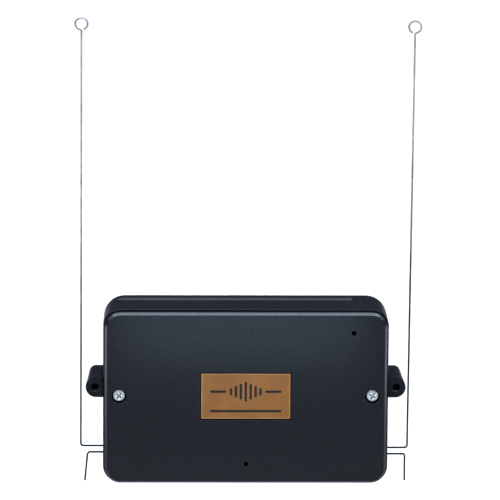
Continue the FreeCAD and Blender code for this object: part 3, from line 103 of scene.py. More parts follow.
def moulded_abs(name, dark, light, edge, gloss, rough):
    """Dark ABS with a spark-eroded texture: mottled satin, faint flow shade, edges paler from wear and
    painted highlight, joints darkened by painted shade.
    """
    material, tree, shader, place = new_material(name, IOR=1.46, Specular_IOR_Level=gloss)
    flow = add(tree, "TexNoise", {"Scale": per_metre(38.0), "Detail": 3.0, "Roughness": 0.55},
               {"Vector": place})
    # Spark texture is near 0.1 mm; drawn at 1.1 mm so that it shows.
    grain = add(tree, "TexNoise", {"Scale": per_metre(1.1)}, {"Vector": place})
    both = add(tree, "Math", {"operation": "MULTIPLY_ADD", 1: 0.4}, {0: flow, 2: grain})
    colour = add(tree, "ValToRGB", links={"Fac": both}, stops=((0.52, dark), (0.88, light)))

    # Painted highlight and wear: outer edges are painted paler, where a rounded normal would part from the
    # flat one.
    eased = add(tree, "Bevel", {"samples": 6, "Radius": 0.5 * MM})
    flat = add(tree, "NewGeometry").outputs["Normal"]
    between = add(tree, "VectorMath", {"operation": "DOT_PRODUCT"}, {0: eased, 1: flat}).outputs["Value"]
    worn_and_highlit = add(tree, "MapRange", {"From Min": 1.0, "From Max": 0.82}, {"Value": between})
    mixed = add(tree, "Mix", {"data_type": "RGBA", 7: linear(edge)}, {0: worn_and_highlit, 6: colour}).outputs[2]

    # Painted shade: where AO finds walls close, in joints, holes and the parting gap, the colour is darkened
    # towards near-black, the reflection weakened and the surface made rougher.
    clear = add(tree, "AmbientOcclusion", {"samples": 8, "Distance": 2.2 * MM}).outputs["AO"]
    unshaded_part = add(tree, "MapRange", {"From Min": 0.45, "From Max": 0.9}, {"Value": clear})
    shaded_colour = add(tree, "Mix", {"data_type": "RGBA", 6: linear("06070a")}, {0: unshaded_part, 7: mixed}).outputs[2]
    lit = add(tree, "MapRange", {"From Min": 0.5, "From Max": 0.95, "To Min": 0.02, "To Max": gloss},
              {"Value": clear})
    fleck = add(tree, "MapRange", {"From Min": 0.3, "From Max": 0.7, "To Min": 0.74, "To Max": 1.26},
                {"Value": grain})
    shine = add(tree, "Math", {"operation": "MULTIPLY"}, {0: lit, 1: fleck})
    dull = add(tree, "MapRange", {"From Min": 0.45, "From Max": 0.9, "To Min": 0.9, "To Max": rough - 0.07},
               {"Value": clear})
    satin = add(tree, "Math", {"operation": "MULTIPLY_ADD", 1: 0.14}, {0: grain, 2: dull})
    raised = add(tree, "Bump", {"Strength": 0.4, "Distance": 0.03 * MM}, {"Height": grain})
    join(tree, shader, {"Base Color": shaded_colour, "Specular IOR Level": shine,
                        "Roughness": satin, "Normal": raised})
    return material


def tinned_wire(finish):
    """Drawn steel wire with a tinned skin: bright higher up, with painted shade near the box that darkens and
    dulls it, with fine draw lines.
    """
    material, tree, shader, place = new_material("tinned_drawn_steel", Specular_IOR_Level=0.3)
    drawn = add(tree, "Mapping", {"Scale": (1.0, 1.0, 0.04)}, {"Vector": place})
    lines = add(tree, "TexNoise", {"Scale": per_metre(0.25)}, {"Vector": drawn})
    bloom = add(tree, "TexNoise", {"Scale": per_metre(9.0), "Detail": 3.0, "Roughness": 0.6},
                {"Vector": place})
    unshaded_part = add(tree, "ValToRGB", links={"Fac": bloom},
                stops=((0.35, finish.wire_dark), (0.65, finish.wire_light)))
    split = add(tree, "SeparateXYZ", links={"Vector": place}).outputs
    # The painted shade reaches a little further up the right-hand wire than the left one.
    height = add(tree, "Math", {"operation": "MULTIPLY_ADD", 1: -0.3}, {0: split["X"], 2: split["Z"]})
    ragged = add(tree, "Math", {"operation": "MULTIPLY_ADD", 1: 0.06}, {0: bloom, 2: height})
    # Painted shade: below these heights the wire's colour is darkened towards a near-black, the wire being
    # bright above them.
    bright = add(tree, "MapRange", {"From Min": finish.painted_shade_full_below, "From Max": finish.painted_shade_gone_above},
                 {"Value": ragged})
    mixed = add(tree, "Mix", {"data_type": "RGBA", 6: linear(finish.wire_painted_shade)}, {0: bright, 7: unshaded_part})
    metal = add(tree, "MapRange", {"To Max": 0.5}, {"Value": bright})
    dull = add(tree, "MapRange", {"To Min": 0.6, "To Max": 0.24}, {"Value": bright})
    worn = add(tree, "Math", {"operation": "MULTIPLY_ADD", 1: 0.15}, {0: lines, 2: dull})
    raised = add(tree, "Bump", {"Strength": 0.5, "Distance": 0.01 * MM}, {"Height": lines})
    join(tree, shader, {"Base Color": mixed.outputs[2], "Metallic": metal,
                        "Roughness": worn, "Normal": raised})
    return material


def bright_metal(name, light, dark, rough, metallic):
    """Plated, tinned or bare metal of small parts: clear silver, rubbed dull specks, recesses darkened by
    painted shade.
    """
    material, tree, shader, place = new_material(name, Metallic=metallic)
    rub = add(tree, "TexNoise", {"Scale": per_metre(0.9), "Detail": 4.0, "Roughness": 0.65},
              {"Vector": place})
    plate = add(tree, "ValToRGB", links={"Fac": rub}, stops=((0.35, dark), (0.6, light)))
    # Painted shade: recesses that AO finds close, such as slots and the rings round heads, are darkened
    # towards near-black.
    clear = add(tree, "AmbientOcclusion", {"samples": 8, "Distance": 1.4 * MM}).outputs["AO"]
    unshaded_part = add(tree, "MapRange", {"From Min": 0.52, "From Max": 0.76}, {"Value": clear})
    mixed = add(tree, "Mix", {"data_type": "RGBA", 6: linear("151615")}, {0: unshaded_part, 7: plate})
    worn = add(tree, "MapRange", {"To Min": rough + 0.08, "To Max": rough - 0.08}, {"Value": rub})
    raised = add(tree, "Bump", {"Strength": 0.3, "Distance": 0.02 * MM}, {"Height": rub})
    join(tree, shader, {"Base Color": mixed.outputs[2], "Roughness": worn, "Normal": raised})
    return material


def brushed_copper(name, dark, light):
    """Copper-coloured aluminium brushed along its length under lacquer: warm brown with fine level lines."""
    material, tree, shader, place = new_material(name, Metallic=0.55, Coat_Weight=0.25, Coat_Roughness=0.3)
    along = add(tree, "Mapping", {"Scale": (0.02, 1.0, 1.0)}, {"Vector": place})
    # Brush lines are near 0.05 mm; drawn at 0.2 mm so that they show.
    lines = add(tree, "TexNoise", {"Scale": per_metre(0.2), "Detail": 3.0, "Roughness": 0.6},
                {"Vector": along})
    tone = add(tree, "TexNoise", {"Scale": per_metre(11.0)}, {"Vector": place})
    both = add(tree, "Math", {"operation": "MULTIPLY_ADD", 1: 0.35}, {0: lines, 2: tone})
    colour = add(tree, "ValToRGB", links={"Fac": both}, stops=((0.35, dark), (0.95, light)))
    worn = add(tree, "MapRange", {"To Min": 0.5, "To Max": 0.36}, {"Value": lines})
    raised = add(tree, "Bump", {"Strength": 0.4, "Distance": 0.01 * MM}, {"Height": lines})
    join(tree, shader, {"Base Color": colour, "Roughness": worn, "Normal": raised})
    return material


def power_package(tab_top, case_front, case_back):
    """Black epoxy moulded on a tinned copper tab and legs: a matt case on satin metal."""
    material, tree, shader, place = new_material("epoxy_on_tinned_tab")
    split = add(tree, "SeparateXYZ", links={"Vector": place}).outputs
    over = add(tree, "Math", {"operation": "GREATER_THAN", 1: tab_top}, {0: split["Z"]})
    behind = add(tree, "Math", {"operation": "GREATER_THAN", 1: case_front}, {0: split["Y"]})
    ahead = add(tree, "Math", {"operation": "LESS_THAN", 1: case_back}, {0: split["Y"]})
    both = add(tree, "Math", {"operation": "MULTIPLY"}, {0: over, 1: behind})
    case = add(tree, "Math", {"operation": "MULTIPLY"}, {0: both, 1: ahead})
    skin = add(tree, "TexNoise", {"Scale": per_metre(0.4), "Detail": 3.0, "Roughness": 0.6},
               {"Vector": place})
    epoxy = add(tree, "ValToRGB", links={"Fac": skin}, stops=((0.3, "121213"), (0.7, "1f1f21")))
    tin = add(tree, "ValToRGB", links={"Fac": skin}, stops=((0.3, "9fa1a2"), (0.7, "bfc1c1")))
    mixed = add(tree, "Mix", {"data_type": "RGBA"}, {0: case, 6: tin, 7: epoxy})
    metal = add(tree, "MapRange", {"To Min": 1.0, "To Max": 0.0}, {"Value": case})
    satin = add(tree, "MapRange", {"To Min": 0.32, "To Max": 0.55}, {"Value": case})
    raised = add(tree, "Bump", {"Strength": 0.5, "Distance": 0.015 * MM}, {"Height": skin})
    join(tree, shader, {"Base Color": mixed.outputs[2], "Metallic": metal,
                        "Roughness": satin, "Normal": raised})
    return material


def layered(name, colours, at, tone, skin, rough, relief=None, stretch=(1.0, 1.0, 1.0), **values):
    """Tones that mottle the colour, and a skin that varies the gloss and stands up a little.

    tone and skin give their features' size in millimetres, their detail and their roughness, and stretch
    draws the skin out. rough is the surface's roughness in the skin's dips and on its tops, and relief is
    the skin's depth in millimetres and its strength."""
    material, tree, shader, place = new_material(name, **values)
    layers = []
    for (size, detail, roughness), scale in ((tone, (1.0, 1.0, 1.0)), (skin, stretch)):
        drawn = add(tree, "Mapping", {"Scale": scale}, {"Vector": place})
        settings = {"Scale": per_metre(size), "Detail": detail, "Roughness": roughness}
        layers.append(add(tree, "TexNoise", settings, {"Vector": drawn}))
    tones, surface = layers
    colour = add(tree, "ValToRGB", links={"Fac": tones}, stops=zip(at, colours))
    worn = add(tree, "MapRange", {"To Min": rough[0], "To Max": rough[1]}, {"Value": surface})
    join(tree, shader, {"Base Color": colour, "Roughness": worn})
    if relief:
        depth, strength = relief
        raised = add(tree, "Bump", {"Strength": strength, "Distance": depth * MM}, {"Height": surface})
        join(tree, shader, {"Normal": raised})
    return material


def plastic(name, dark, light, rough, grain=0.3, depth=0.015, **values):
    """A moulded or dipped plastic with slight shade and a fine skin."""
    return layered(name, colours=(dark, light), at=(0.3, 0.7), tone=(3.0, 3.0, 0.55), skin=(grain, 2.0, 0.5),
                   rough=(rough - 0.06, rough + 0.06), relief=(depth, 0.5), **values)


def solder_mask(name, dark, light):
    """Green lacquer on glass laminate: glossy, with the cloth's weave just showing through."""
    weave = (0.6, 2.0, 0.5)
    return layered(name, colours=(dark, light), at=(0.3, 0.7), tone=weave, skin=weave, rough=(0.28, 0.4),
                   relief=(0.02, 0.4), Coat_Weight=0.4, Coat_Roughness=0.15)


def tinplate():
    """Folded tinplate: soft grey metal with faint blooms and rolling lines."""
    return layered("folded_tinplate", colours=("a8aaa8", "c9cac6"), at=(0.35, 0.65), tone=(5.0, 4.0, 0.6),
                   skin=(0.3, 2.0, 0.5), rough=(0.28, 0.4), relief=(0.01, 0.5), stretch=(1.0, 1.0, 0.03),
                   Metallic=1.0)


def red_resin():
    """Tinted clear epoxy of a light: deep red, glossy, with a little light let through."""
    cloud = (1.2, 2.0, 0.5)
    return layered("red_epoxy_resin", colours=("8e0f0c", "c01a14"), at=(0.0, 1.0), tone=cloud, skin=cloud,
                   rough=(0.1, 0.2), IOR=1.52, Transmission_Weight=0.5)


def printed_ink():
    """Screen-printed dark ink: a thin matt film with slightly uneven cover."""
    film = (0.4, 3.0, 0.6)
    return layered("screen_printed_ink", colours=("17130f", "2a2119"), at=(0.3, 0.8), tone=film, skin=film,
                   rough=(0.42, 0.6), relief=(0.01, 0.4), Specular_IOR_Level=0.25)


def dress(material, *names):
    """Gives CAD nodes a finish."""
    for name in names:
        slots = NODES[name].data.materials
        slots.clear()
        slots.append(material)


# Meshes

def mesh_piece(name, form, material, body):
    """Makes a piece from a bmesh and lets it ride on a body."""
    mesh = bpy.data.meshes.new(name)
    bmesh.ops.recalc_face_normals(form, faces=form.faces)
    form.to_mesh(mesh)
    form.free()
    mesh.materials.append(material)
    piece = bpy.data.objects.new(name, mesh)
    bpy.context.scene.collection.objects.link(piece)
    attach(piece, body)
    return piece


def add_prism(form, outline, front, back):
    """A solid between two planes across Y, from an outline of X and Z that runs once round."""
    near = [form.verts.new((x, front, z)) for x, z in outline]
    far = [form.verts.new((x, back, z)) for x, z in outline]
    form.faces.new(near)
    form.faces.new(list(reversed(far)))
    count = len(outline)
    for k in range(count):
        after = (k + 1) % count
        form.faces.new((near[k], far[k], far[after], near[after]))


def add_ring_prism(form, outer, inner, front, back):
    """A frame between two planes across Y, from two outlines with as many points."""
    loops = [[form.verts.new((x, y, z)) for x, z in line] for line in (outer, inner) for y in (front, back)]
    outer_near, outer_far, inner_near, inner_far = loops
    count = len(outer)
    for k in range(count):
        after = (k + 1) % count
        form.faces.new((outer_near[k], outer_near[after], inner_near[after], inner_near[k]))
        form.faces.new((outer_far[k], inner_far[k], inner_far[after], outer_far[after]))
        form.faces.new((outer_near[k], outer_far[k], outer_far[after], outer_near[after]))
        form.faces.new((inner_near[k], inner_near[after], inner_far[after], inner_far[k]))


def rounded(x0, x1, z0, z1, radius, steps=6):
    """Outline of a rectangle with round corners."""
    points = []
    centres = ((x1 - radius, z0 + radius, -90), (x1 - radius, z1 - radius, 0),
               (x0 + radius, z1 - radius, 90), (x0 + radius, z0 + radius, 180))
    for x, z, start in centres:
        for k in range(steps + 1):
            angle = math.radians(start + 90 * k / steps)
            points.append((x + radius * math.cos(angle), z + radius * math.sin(angle)))
    return points


def add_track(form, points, width, front, back):
    """A flat strip of one width along a line of X and Z, mitred at its bends."""
    line = [Vector(p) for p in points]
    runs = [(after - before).normalized() for before, after in zip(line, line[1:])]
    left, right = [], []
    for k, point in enumerate(line):
        before, after = runs[max(k - 1, 0)], runs[min(k, len(runs) - 1)]
        across = Vector((-(before + after).y, (before + after).x)).normalized()
        reach = width / 2 / across.dot(Vector((-after.y, after.x)))
        left.append(point + across * reach)
        right.append(point - across * reach)
    add_prism(form, [tuple(p) for p in left + right[::-1]], front, back)


def side(name, which):
    """Where one side of a node lies, seen from the front."""
    low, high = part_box(name)
    return {"left": low.x, "right": high.x, "below": low.z, "above": high.z}[which]


def circle(x, z, radius, steps=24):
    """Outline of a circle."""
    turns = [2 * math.pi * k / steps for k in range(steps)]
    return [(x + radius * math.cos(t), z + radius * math.sin(t)) for t in turns]


# Sizes and colours that a user would change

class CaseFinish(bpy.types.PropertyGroup):
    """Colours of the moulded case."""

    cover_dark: StringProperty(name="Cover, darker", default="05070a",
                               description="sRGB hex of the cover in its darker parts")
    cover_light: StringProperty(name="Cover, lighter", default="0d1015",
                                description="sRGB hex of the cover in its lighter parts")
    base_dark: StringProperty(name="Back, darker", default="0a0c0f",
                              description="sRGB hex of the rear housing in its darker parts")
    base_light: StringProperty(name="Back, lighter", default="12151a",
                               description="sRGB hex of the rear housing in its lighter parts")
    # Painted highlight and wear: the paler colour that rounded edges are painted with.
    edge: StringProperty(name="Edges", default="2c323c",
                         description="sRGB hex of edges that hands have rubbed")
    cover_gloss: FloatProperty(name="Cover gloss", default=0.3, min=0.0, max=1.0, subtype="FACTOR",
                               description="Strength of the cover's plain reflection")
    base_gloss: FloatProperty(name="Back gloss", default=0.15, min=0.0, max=1.0, subtype="FACTOR",
                              description="Strength of the rear housing's plain reflection")


class TrimFinish(bpy.types.PropertyGroup):
    """Colours of the wires and of the plate, and sizes of the plate's print."""

    wire_dark: StringProperty(name="Wire, darker", default="747577",
                              description="sRGB hex of the wire where it is dull")
    wire_light: StringProperty(name="Wire, lighter", default="a3a3a2",
                               description="sRGB hex of the wire where it is bright")
    # Painted shade on the wires: its colour, and the heights over which it fades out going up.
    wire_painted_shade: StringProperty(name="Wire, painted shade", default="141517",
                                 description="sRGB hex of the wire near the box")
    painted_shade_full_below: FloatProperty(name="Painted shade up to", default=0.07, unit="LENGTH",
                                description="Height below which the wire is dark")
    painted_shade_gone_above: FloatProperty(name="Bright from", default=0.19, unit="LENGTH",
                              description="Height above which the wire is bright")
    plate_dark: StringProperty(name="Plate, darker", default="82501a",
                               description="sRGB hex of the plate's darker bands")
    plate_light: StringProperty(name="Plate, lighter", default="986122",
                                description="sRGB hex of the plate's lighter bands")
    lip_dark: StringProperty(name="Lip, darker", default="9d6c3e",
                             description="sRGB hex of the plate's edge in its darker parts")
    lip_light: StringProperty(name="Lip, lighter", default="b28252",
                              description="sRGB hex of the plate's edge in its lighter parts")
    lip: FloatProperty(name="Lip width", default=0.7 * MM, min=0.0001, unit="LENGTH",
                       description="Width of the plate's bright edge")
    bar_pairs: IntProperty(name="Bar pairs", default=3, min=1,
                           description="Printed bars on each side of the middle one")
    bar_pitch: FloatProperty(name="Bar pitch", default=3.1 * MM, min=0.0005, unit="LENGTH",
                             description="From one printed bar to the next")
    bar_height: FloatProperty(name="Bar height", default=13.0 * MM, min=0.001, unit="LENGTH",
                              description="Height of the middle printed bar")


class BoardDetail(bpy.types.PropertyGroup):
    """Sizes of the tracks and prints on the circuit board."""

    pitch: FloatProperty(name="Grid", default=2.0 * MM, min=0.0005, unit="LENGTH",
                         description="From one track of a bundle to the next")
    track: FloatProperty(name="Track width", default=0.5 * MM, min=0.0001, unit="LENGTH",
                         description="Width of a thin track")
    film: FloatProperty(name="Copper height", default=0.06 * MM, min=0.00001, unit="LENGTH",
                        description="How far tracks stand up")
    legend: FloatProperty(name="Outline width", default=0.3 * MM, min=0.0001, unit="LENGTH",
                          description="Width of the white printed outlines")
    holes: IntProperty(name="Plated holes", default=120, min=1, description="How many grid places are tried")
    seed: IntProperty(name="Seed", default=7, description="Chooses the places of the plated holes")


class StudioSettings(bpy.types.PropertyGroup):
    """Camera and floor."""

    aim: FloatVectorProperty(name="Aim", default=(0.002493, -0.015, 0.090765), subtype="TRANSLATION",
                             unit="LENGTH", description="Point at the middle of the picture")
    distance: FloatProperty(name="Camera distance", default=5.0, min=0.3, unit="LENGTH",
                            description="From the aim to the camera")
    tip: FloatProperty(name="Camera height angle", default=math.radians(16.2485), subtype="ANGLE",
                       unit="ROTATION", description="How far the camera looks down")
    turn: FloatProperty(name="Camera side angle", default=math.radians(1.0983), subtype="ANGLE",
                        unit="ROTATION", description="How far the camera looks to the right")
    roll: FloatProperty(name="Camera roll", default=math.radians(0.3872), subtype="ANGLE",
                        unit="ROTATION", description="How far the camera leans")
    focal_pixels: FloatProperty(name="Focal length", default=7935.4, min=100.0,
                                description="In pixels of the photograph")
    floor_drop: FloatProperty(name="Floor depth", default=0.26, min=0.07, unit="LENGTH",
                              description="Floor below the middle of the box")


# Operators, one for each piece or group of like pieces

class RECEIVER_OT_case(bpy.types.Operator):
    """Finishes the rear housing and the front cover"""

    bl_idname = "receiver.case"
    bl_label = "Moulded case"

    def execute(self, context):
        case = context.scene.receiver_case
        satin = moulded_abs("satin_moulded_abs", case.cover_dark, case.cover_light, case.edge,
                            gloss=case.cover_gloss, rough=0.24)
        matt = moulded_abs("matt_moulded_abs", case.base_dark, case.base_light, case.edge,
                           gloss=case.base_gloss, rough=0.4)
        dress(satin, "front_cover")
        dress(matt, "rear_housing")
        return {"FINISHED"}


class RECEIVER_OT_nameplate(bpy.types.Operator):
    """Finishes the plate, gives it a polished lip and prints rising bars and plain rules on it"""

    bl_idname = "receiver.nameplate"
    bl_label = "Nameplate"

    def execute(self, context):
        trim = context.scene.receiver_trim
        brushed = brushed_copper("brushed_copper_anodised_aluminium", trim.plate_dark, trim.plate_light)
        dress(brushed, "nameplate")
        low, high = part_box("nameplate")
        self.lip(low, high, trim)
        self.motif(low, high, trim)
        return {"FINISHED"}

    def lip(self, low, high, trim):
        """The narrow bright edge that the cutting die leaves round the plate."""
        near, far = 0.1 * MM, 0.1 * MM + trim.lip
        outer = rounded(low.x + near, high.x - near, low.z + near, high.z - near, 0.5 * MM)
        inner = rounded(low.x + far, high.x - far, low.z + far, high.z - far, 0.3 * MM)
        form = bmesh.new()
        add_ring_prism(form, outer, inner, low.y - 0.08 * MM, low.y + 0.05 * MM)
        polished = brushed_copper("polished_copper_lip", trim.lip_dark, trim.lip_light)
        mesh_piece("plate_lip", form, polished, "cover")

    def motif(self, low, high, trim):
        """Plain printed bars that rise to the middle, a rule on each side of them and one below."""
        wide, tall = high.x - low.x, high.z - low.z
        middle, level, foot = (low.x + high.x) / 2, low.z + 0.6 * tall, low.z + 0.17 * tall
        strips = []
        for k in range(-trim.bar_pairs, trim.bar_pairs + 1):
            x, half_bar = middle + k * trim.bar_pitch, 0.25 * trim.bar_pitch
            reach = trim.bar_height * (1 - 0.85 * abs(k) / (trim.bar_pairs + 1)) / 2
            strips.append((x - half_bar, x + half_bar, level - reach, level + reach, 0.8 * half_bar))
        gap, end, half_rule = (trim.bar_pairs + 1) * trim.bar_pitch, 0.4 * wide, 0.8 * MM
        beside = [(*sorted((middle + way * gap, middle + way * end)), level) for way in (-1, 1)]
        for x0, x1, z in (*beside, (middle - end, middle + end, foot)):
            strips.append((x0, x1, z - half_rule, z + half_rule, 0.7 * MM))
        form = bmesh.new()
        for x0, x1, z0, z1, radius in strips:
            add_prism(form, rounded(x0, x1, z0, z1, radius, 3), low.y - 0.03 * MM, low.y + 0.02 * MM)
        mesh_piece("plate_motif", form, printed_ink(), "cover")


class RECEIVER_OT_screws(bpy.types.Operator):
    """Finishes the screws of the cover, the board and the clamps"""

    bl_idname = "receiver.screws"
    bl_label = "Screws"

    def execute(self, context):
        # Painted highlight: the cover screws are near-white and barely metallic, so their heads show bright
        # as if strongly lit.
        dress(bright_metal("zinc_plated_steel_painted_highlight", "fafbf9", "e6e8e6", 0.4, 0.12), "cover_screws")
        dress(bright_metal("zinc_plated_small_screws", "c4c6c4", "8f9391", 0.32, 1.0), "board_screws",
              "aerial_clamp_screws", "bus_clamp_screws")
        return {"FINISHED"}


class RECEIVER_OT_wires(bpy.types.Operator):
    """Finishes the two tall aerials and the two short wires"""

    bl_idname = "receiver.wires"
    bl_label = "Aerial wires"

    def execute(self, context):
        dress(tinned_wire(context.scene.receiver_trim), "left_aerial", "right_aerial", "left_counterpoise",
              "right_counterpoise")
        return {"FINISHED"}


class RECEIVER_OT_board(bpy.types.Operator):
    """Finishes the circuit board and all that stands on it"""

    bl_idname = "receiver.board"
    bl_label = "Circuit board"

    def execute(self, context):
        dress(solder_mask("solder_mask_on_glass_laminate", "0c3319", "114423"), "circuit_board")
        # Injection-moulded polyamide: an even mid green with a low sheen.
        dress(plastic("green_polyamide", "16522c", "1d6437", 0.42), "left_aerial_terminal",
              "right_aerial_terminal", "bus_terminal")
        # Glass-filled polyester: a dry chocolate brown.
        dress(plastic("brown_polyester", "3a2a1a", "4b3722", 0.5), "processor_socket")
        # Transfer-moulded epoxy: charcoal, quite matt, with the die's fine sparkle.
        dress(plastic("black_epoxy_moulding", "131314", "1d1d1f", 0.55, grain=0.2), "processor",
              "memory_chip", "jumper_cap", "jumper_header")
        # Where the regulator's case meets its tab and its legs, from its solid.
        tab_top, case_front, case_back = 35.35 * MM, -21.6 * MM, -12.4 * MM
        dress(power_package(tab_top, case_front, case_back), "voltage_regulator")
        dress(tinplate(), "left_radio_shield", "right_radio_shield", "crystal")
        # Heat-shrunk sleeve: near-black navy, slick and slightly wavy.
        dress(plastic("shrunk_pvc_sleeve", "10142a", "171d3a", 0.25, grain=0.8, Coat_Weight=0.3),
              "filter_capacitors")
        dress(red_resin(), "status_led")
        # Moulded nylon: black with a soft sheen.
        dress(plastic("black_nylon", "17171a", "202024", 0.5), "led_spacer", "enrol_switch", "tamper_switch")
        # Moulded polyester: a dense signal red.
        dress(plastic("red_polyester", "8e1512", "a81d18", 0.4), "address_switch", "enrol_button")
        # Moulded acetal: a waxy off-white.
        dress(plastic("white_acetal", "d8d6ce", "e8e6df", 0.35), "tamper_plunger", "address_slider_1",
              "address_slider_2", "address_slider_3", "address_slider_4")
        # Dipped coats of small parts: buff lacquer, glossy brown phenolic and ochre ceramic cement.
        dress(plastic("buff_resistor_coat", "a98556", "c09a66", 0.5), "resistors")
        dress(plastic("amber_phenolic_dip", "6c3512", "864718", 0.3), "resistor_networks")
        dress(plastic("ochre_ceramic_dip", "b06a1c", "c87e28", 0.35), "ceramic_capacitors")
        return {"FINISHED"}


class RECEIVER_OT_tracks(bpy.types.Operator):
    """Lays the board's copper tracks, plated holes and white outlines, and bares the capacitors' ends"""

    bl_idname = "receiver.tracks"
    bl_label = "Tracks and outlines"

    def execute(self, context):
        board = context.scene.receiver_board
        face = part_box("circuit_board")[0].y
        self.tracks(board, face)
        self.holes(board, face)
        self.outlines(board, face)
        self.can_tops()
        return {"FINISHED"}

    def tracks(self, board, face):
        """Bundles of tracks between the parts, bent at 45 degrees, and wide ones for the supply."""
        form = bmesh.new()

        def lay(points, wide=1):
            add_track(form, points, wide * board.track, face - board.film, face + board.film / 2)

        self.processor_tracks(lay, board.pitch)
        self.module_tracks(lay, board.pitch)
        self.supply_tracks(lay, board.pitch)
        self.signal_tracks(lay, board.pitch)
        mask = solder_mask("solder_mask_on_copper", "1c5a2e", "24693a")
        mesh_piece("board_tracks", form, mask, "housing")

    def processor_tracks(self, lay, pitch):
        """From the processor to the networks, memory, radio modules, address switch and resistors."""
        left, right = side("processor_socket", "left"), side("processor_socket", "right")
        foot, top = side("processor_socket", "below"), side("processor_socket", "above")
        for k in range(-4, 5):
            x = k * pitch
            lay(((x, top), (x, side("resistor_networks", "below"))))
            start = side("resistor_networks", "above")
            bend = start + (5 - abs(k)) * 0.6 * pitch
            away = 1.5 * pitch if k >= 0 else -1.5 * pitch
            lay(((x, start), (x, bend), (x + away, bend + abs(away))))
        for k in range(4):
            level = (foot + top) / 2 + (k - 1.5) * pitch
            lay(((right, level), (side("memory_chip", "left"), level)))
            lower = level - 1.5 * pitch
            lay(((left, level), (left - 3 * pitch, level), (left - 4.5 * pitch, lower),
                 (side("left_radio_shield", "right"), lower)))
            start, lower = side("memory_chip", "right"), level - pitch
            lay(((start, level), (start + 2 * pitch, level), (start + 3 * pitch, lower),
                 (side("right_radio_shield", "left"), lower)))
            x, lower = (4 - k) * pitch, side("address_switch", "above") - (k + 0.7) * pitch
            lay(((x, foot), (x, lower + pitch), (x + pitch, lower), (side("address_switch", "left"), lower)))
        first, apart = side("resistors", "left") + 1.15 * MM, 3.2 * MM
        for k in range(5):
            x, end = -(4 - k) * pitch, first + k * apart
            level, bend = foot - (2.6 - 0.55 * k) * pitch, 0.5 * pitch
            lay(((x, foot), (x, level + bend), (x - bend, level), (end + bend, level), (end, level - bend),
                 (end, side("resistors", "above"))))

    def module_tracks(self, lay, pitch):
        """From each radio module to its aerial terminal."""
        for name, way, inner in (("left", -1, "right"), ("right", 1, "left")):
            end = side(f"{name}_aerial_terminal", inner)
            level = side(f"{name}_aerial_terminal", "above") - 2.5 * MM
            x, start = end - way * 2.4 * pitch, side(f"{name}_radio_shield", "below")
            lay(((x, start), (x, level + pitch), (x + way * pitch, level), (end, level)), 2.5)

    def supply_tracks(self, lay, pitch):
        """Wide ones from the bus terminal towards the processor, and from the regulator to its capacitors."""
        bend = pitch / 2
        foot = side("bus_terminal", "below")
        for k in range(4):
            x = side("bus_terminal", "left") + (1.3 + 2 * k) * pitch
            end = side("resistor_networks", "left") - (1 + k) * 0.6 * pitch
            low = foot - (1.2 + 0.8 * k) * pitch
            lay(((x, foot), (x, low + bend), (x + bend, low), (end, low), (end + bend, low - bend),
                 (end + bend, side("processor_socket", "above") - 0.8 * k * pitch)), 1.6)
        foot, leg_pitch = side("voltage_regulator", "below"), 2.54 * MM
        middle = (side("voltage_regulator", "left") + side("voltage_regulator", "right")) / 2
        for k in range(-1, 2):
            x, end = middle + k * leg_pitch, side("filter_capacitors", "right") - (5 + 6 * k) * MM
            low = side("filter_capacitors", "below") - (1.4 + 1.3 * (k + 1)) * pitch
            lay(((x, foot), (x, low + bend), (x - bend, low), (end, low)), 3)

    def signal_tracks(self, lay, pitch):
        """From the light and from the tamper switch to the radio modules."""
        x, foot = side("status_led", "left") + 1.9 * MM, side("led_spacer", "below")
        lay(((x, foot), (x, foot - 3 * pitch), (x - 2 * pitch, foot - 5 * pitch),
             (x - 2 * pitch, side("right_radio_shield", "above") - 2 * pitch)))
        x = side("tamper_switch", "left") + 4.0 * MM
        lay(((x, side("tamper_switch", "below")), (x, side("left_radio_shield", "above"))))

    def holes(self, board, face):
        """Plated holes on the board's grid, clear of everything that stands on it."""
        draw = random.Random(board.seed)
        low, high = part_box("circuit_board")
        clear, ring, bore = 2.0 * MM, 0.62 * MM, 0.3 * MM
        # Left out: the board itself, and screws so far apart that one box round them covers most of it.
        wide = ("circuit_board", "board_screws", "aerial_clamp_screws")
        taken = [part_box(name) for name in NODES if name not in wide and self.on_board(name, low, high)]
        # The cable opening, above the bus terminal.
        taken.append((Vector((side("bus_terminal", "left") - 10 * MM, 0, side("bus_terminal", "above"))),
                      Vector((side("resistor_networks", "left"), 0, high.z))))
        # Grid steps left free at the board's sides, foot and top.
        beside, below, above = 6, 5, 2
        form = bmesh.new()
        pitch = board.pitch
        for _ in range(board.holes):
            x = pitch * draw.randint(int(low.x / pitch) + beside, int(high.x / pitch) - beside)
            z = pitch * draw.randint(int(low.z / pitch) + below, int(high.z / pitch) - above)
            if any(a.x - clear < x < b.x + clear and a.z - clear < z < b.z + clear for a, b in taken):
                continue
            add_ring_prism(form, circle(x, z, ring, 14), circle(x, z, bore, 14), face - 1.6 * board.film,
                           face + board.film / 2)
        tin = bright_metal("tinned_copper_rings", "d9dad4", "b4b6ae", 0.35, 1.0)
        mesh_piece("board_plated_holes", form, tin, "housing")

    def on_board(self, name, low, high):
        """Whether a node stands within the board's outline, give or take a millimetre."""
        a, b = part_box(name)
        return a.x > low.x - MM and b.x < high.x + MM and a.z > low.z - MM and b.z < high.z + MM

    def cans(self):
        """Place, radius and outer end of the two filter capacitors."""
        low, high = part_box("filter_capacitors")
        middle, large, small, shorter_by = (low.z + high.z) / 2, 5.0 * MM, 4.0 * MM, 4.5 * MM
        return (high.x - large, middle, large, low.y), (low.x + small, middle, small, low.y + shorter_by)

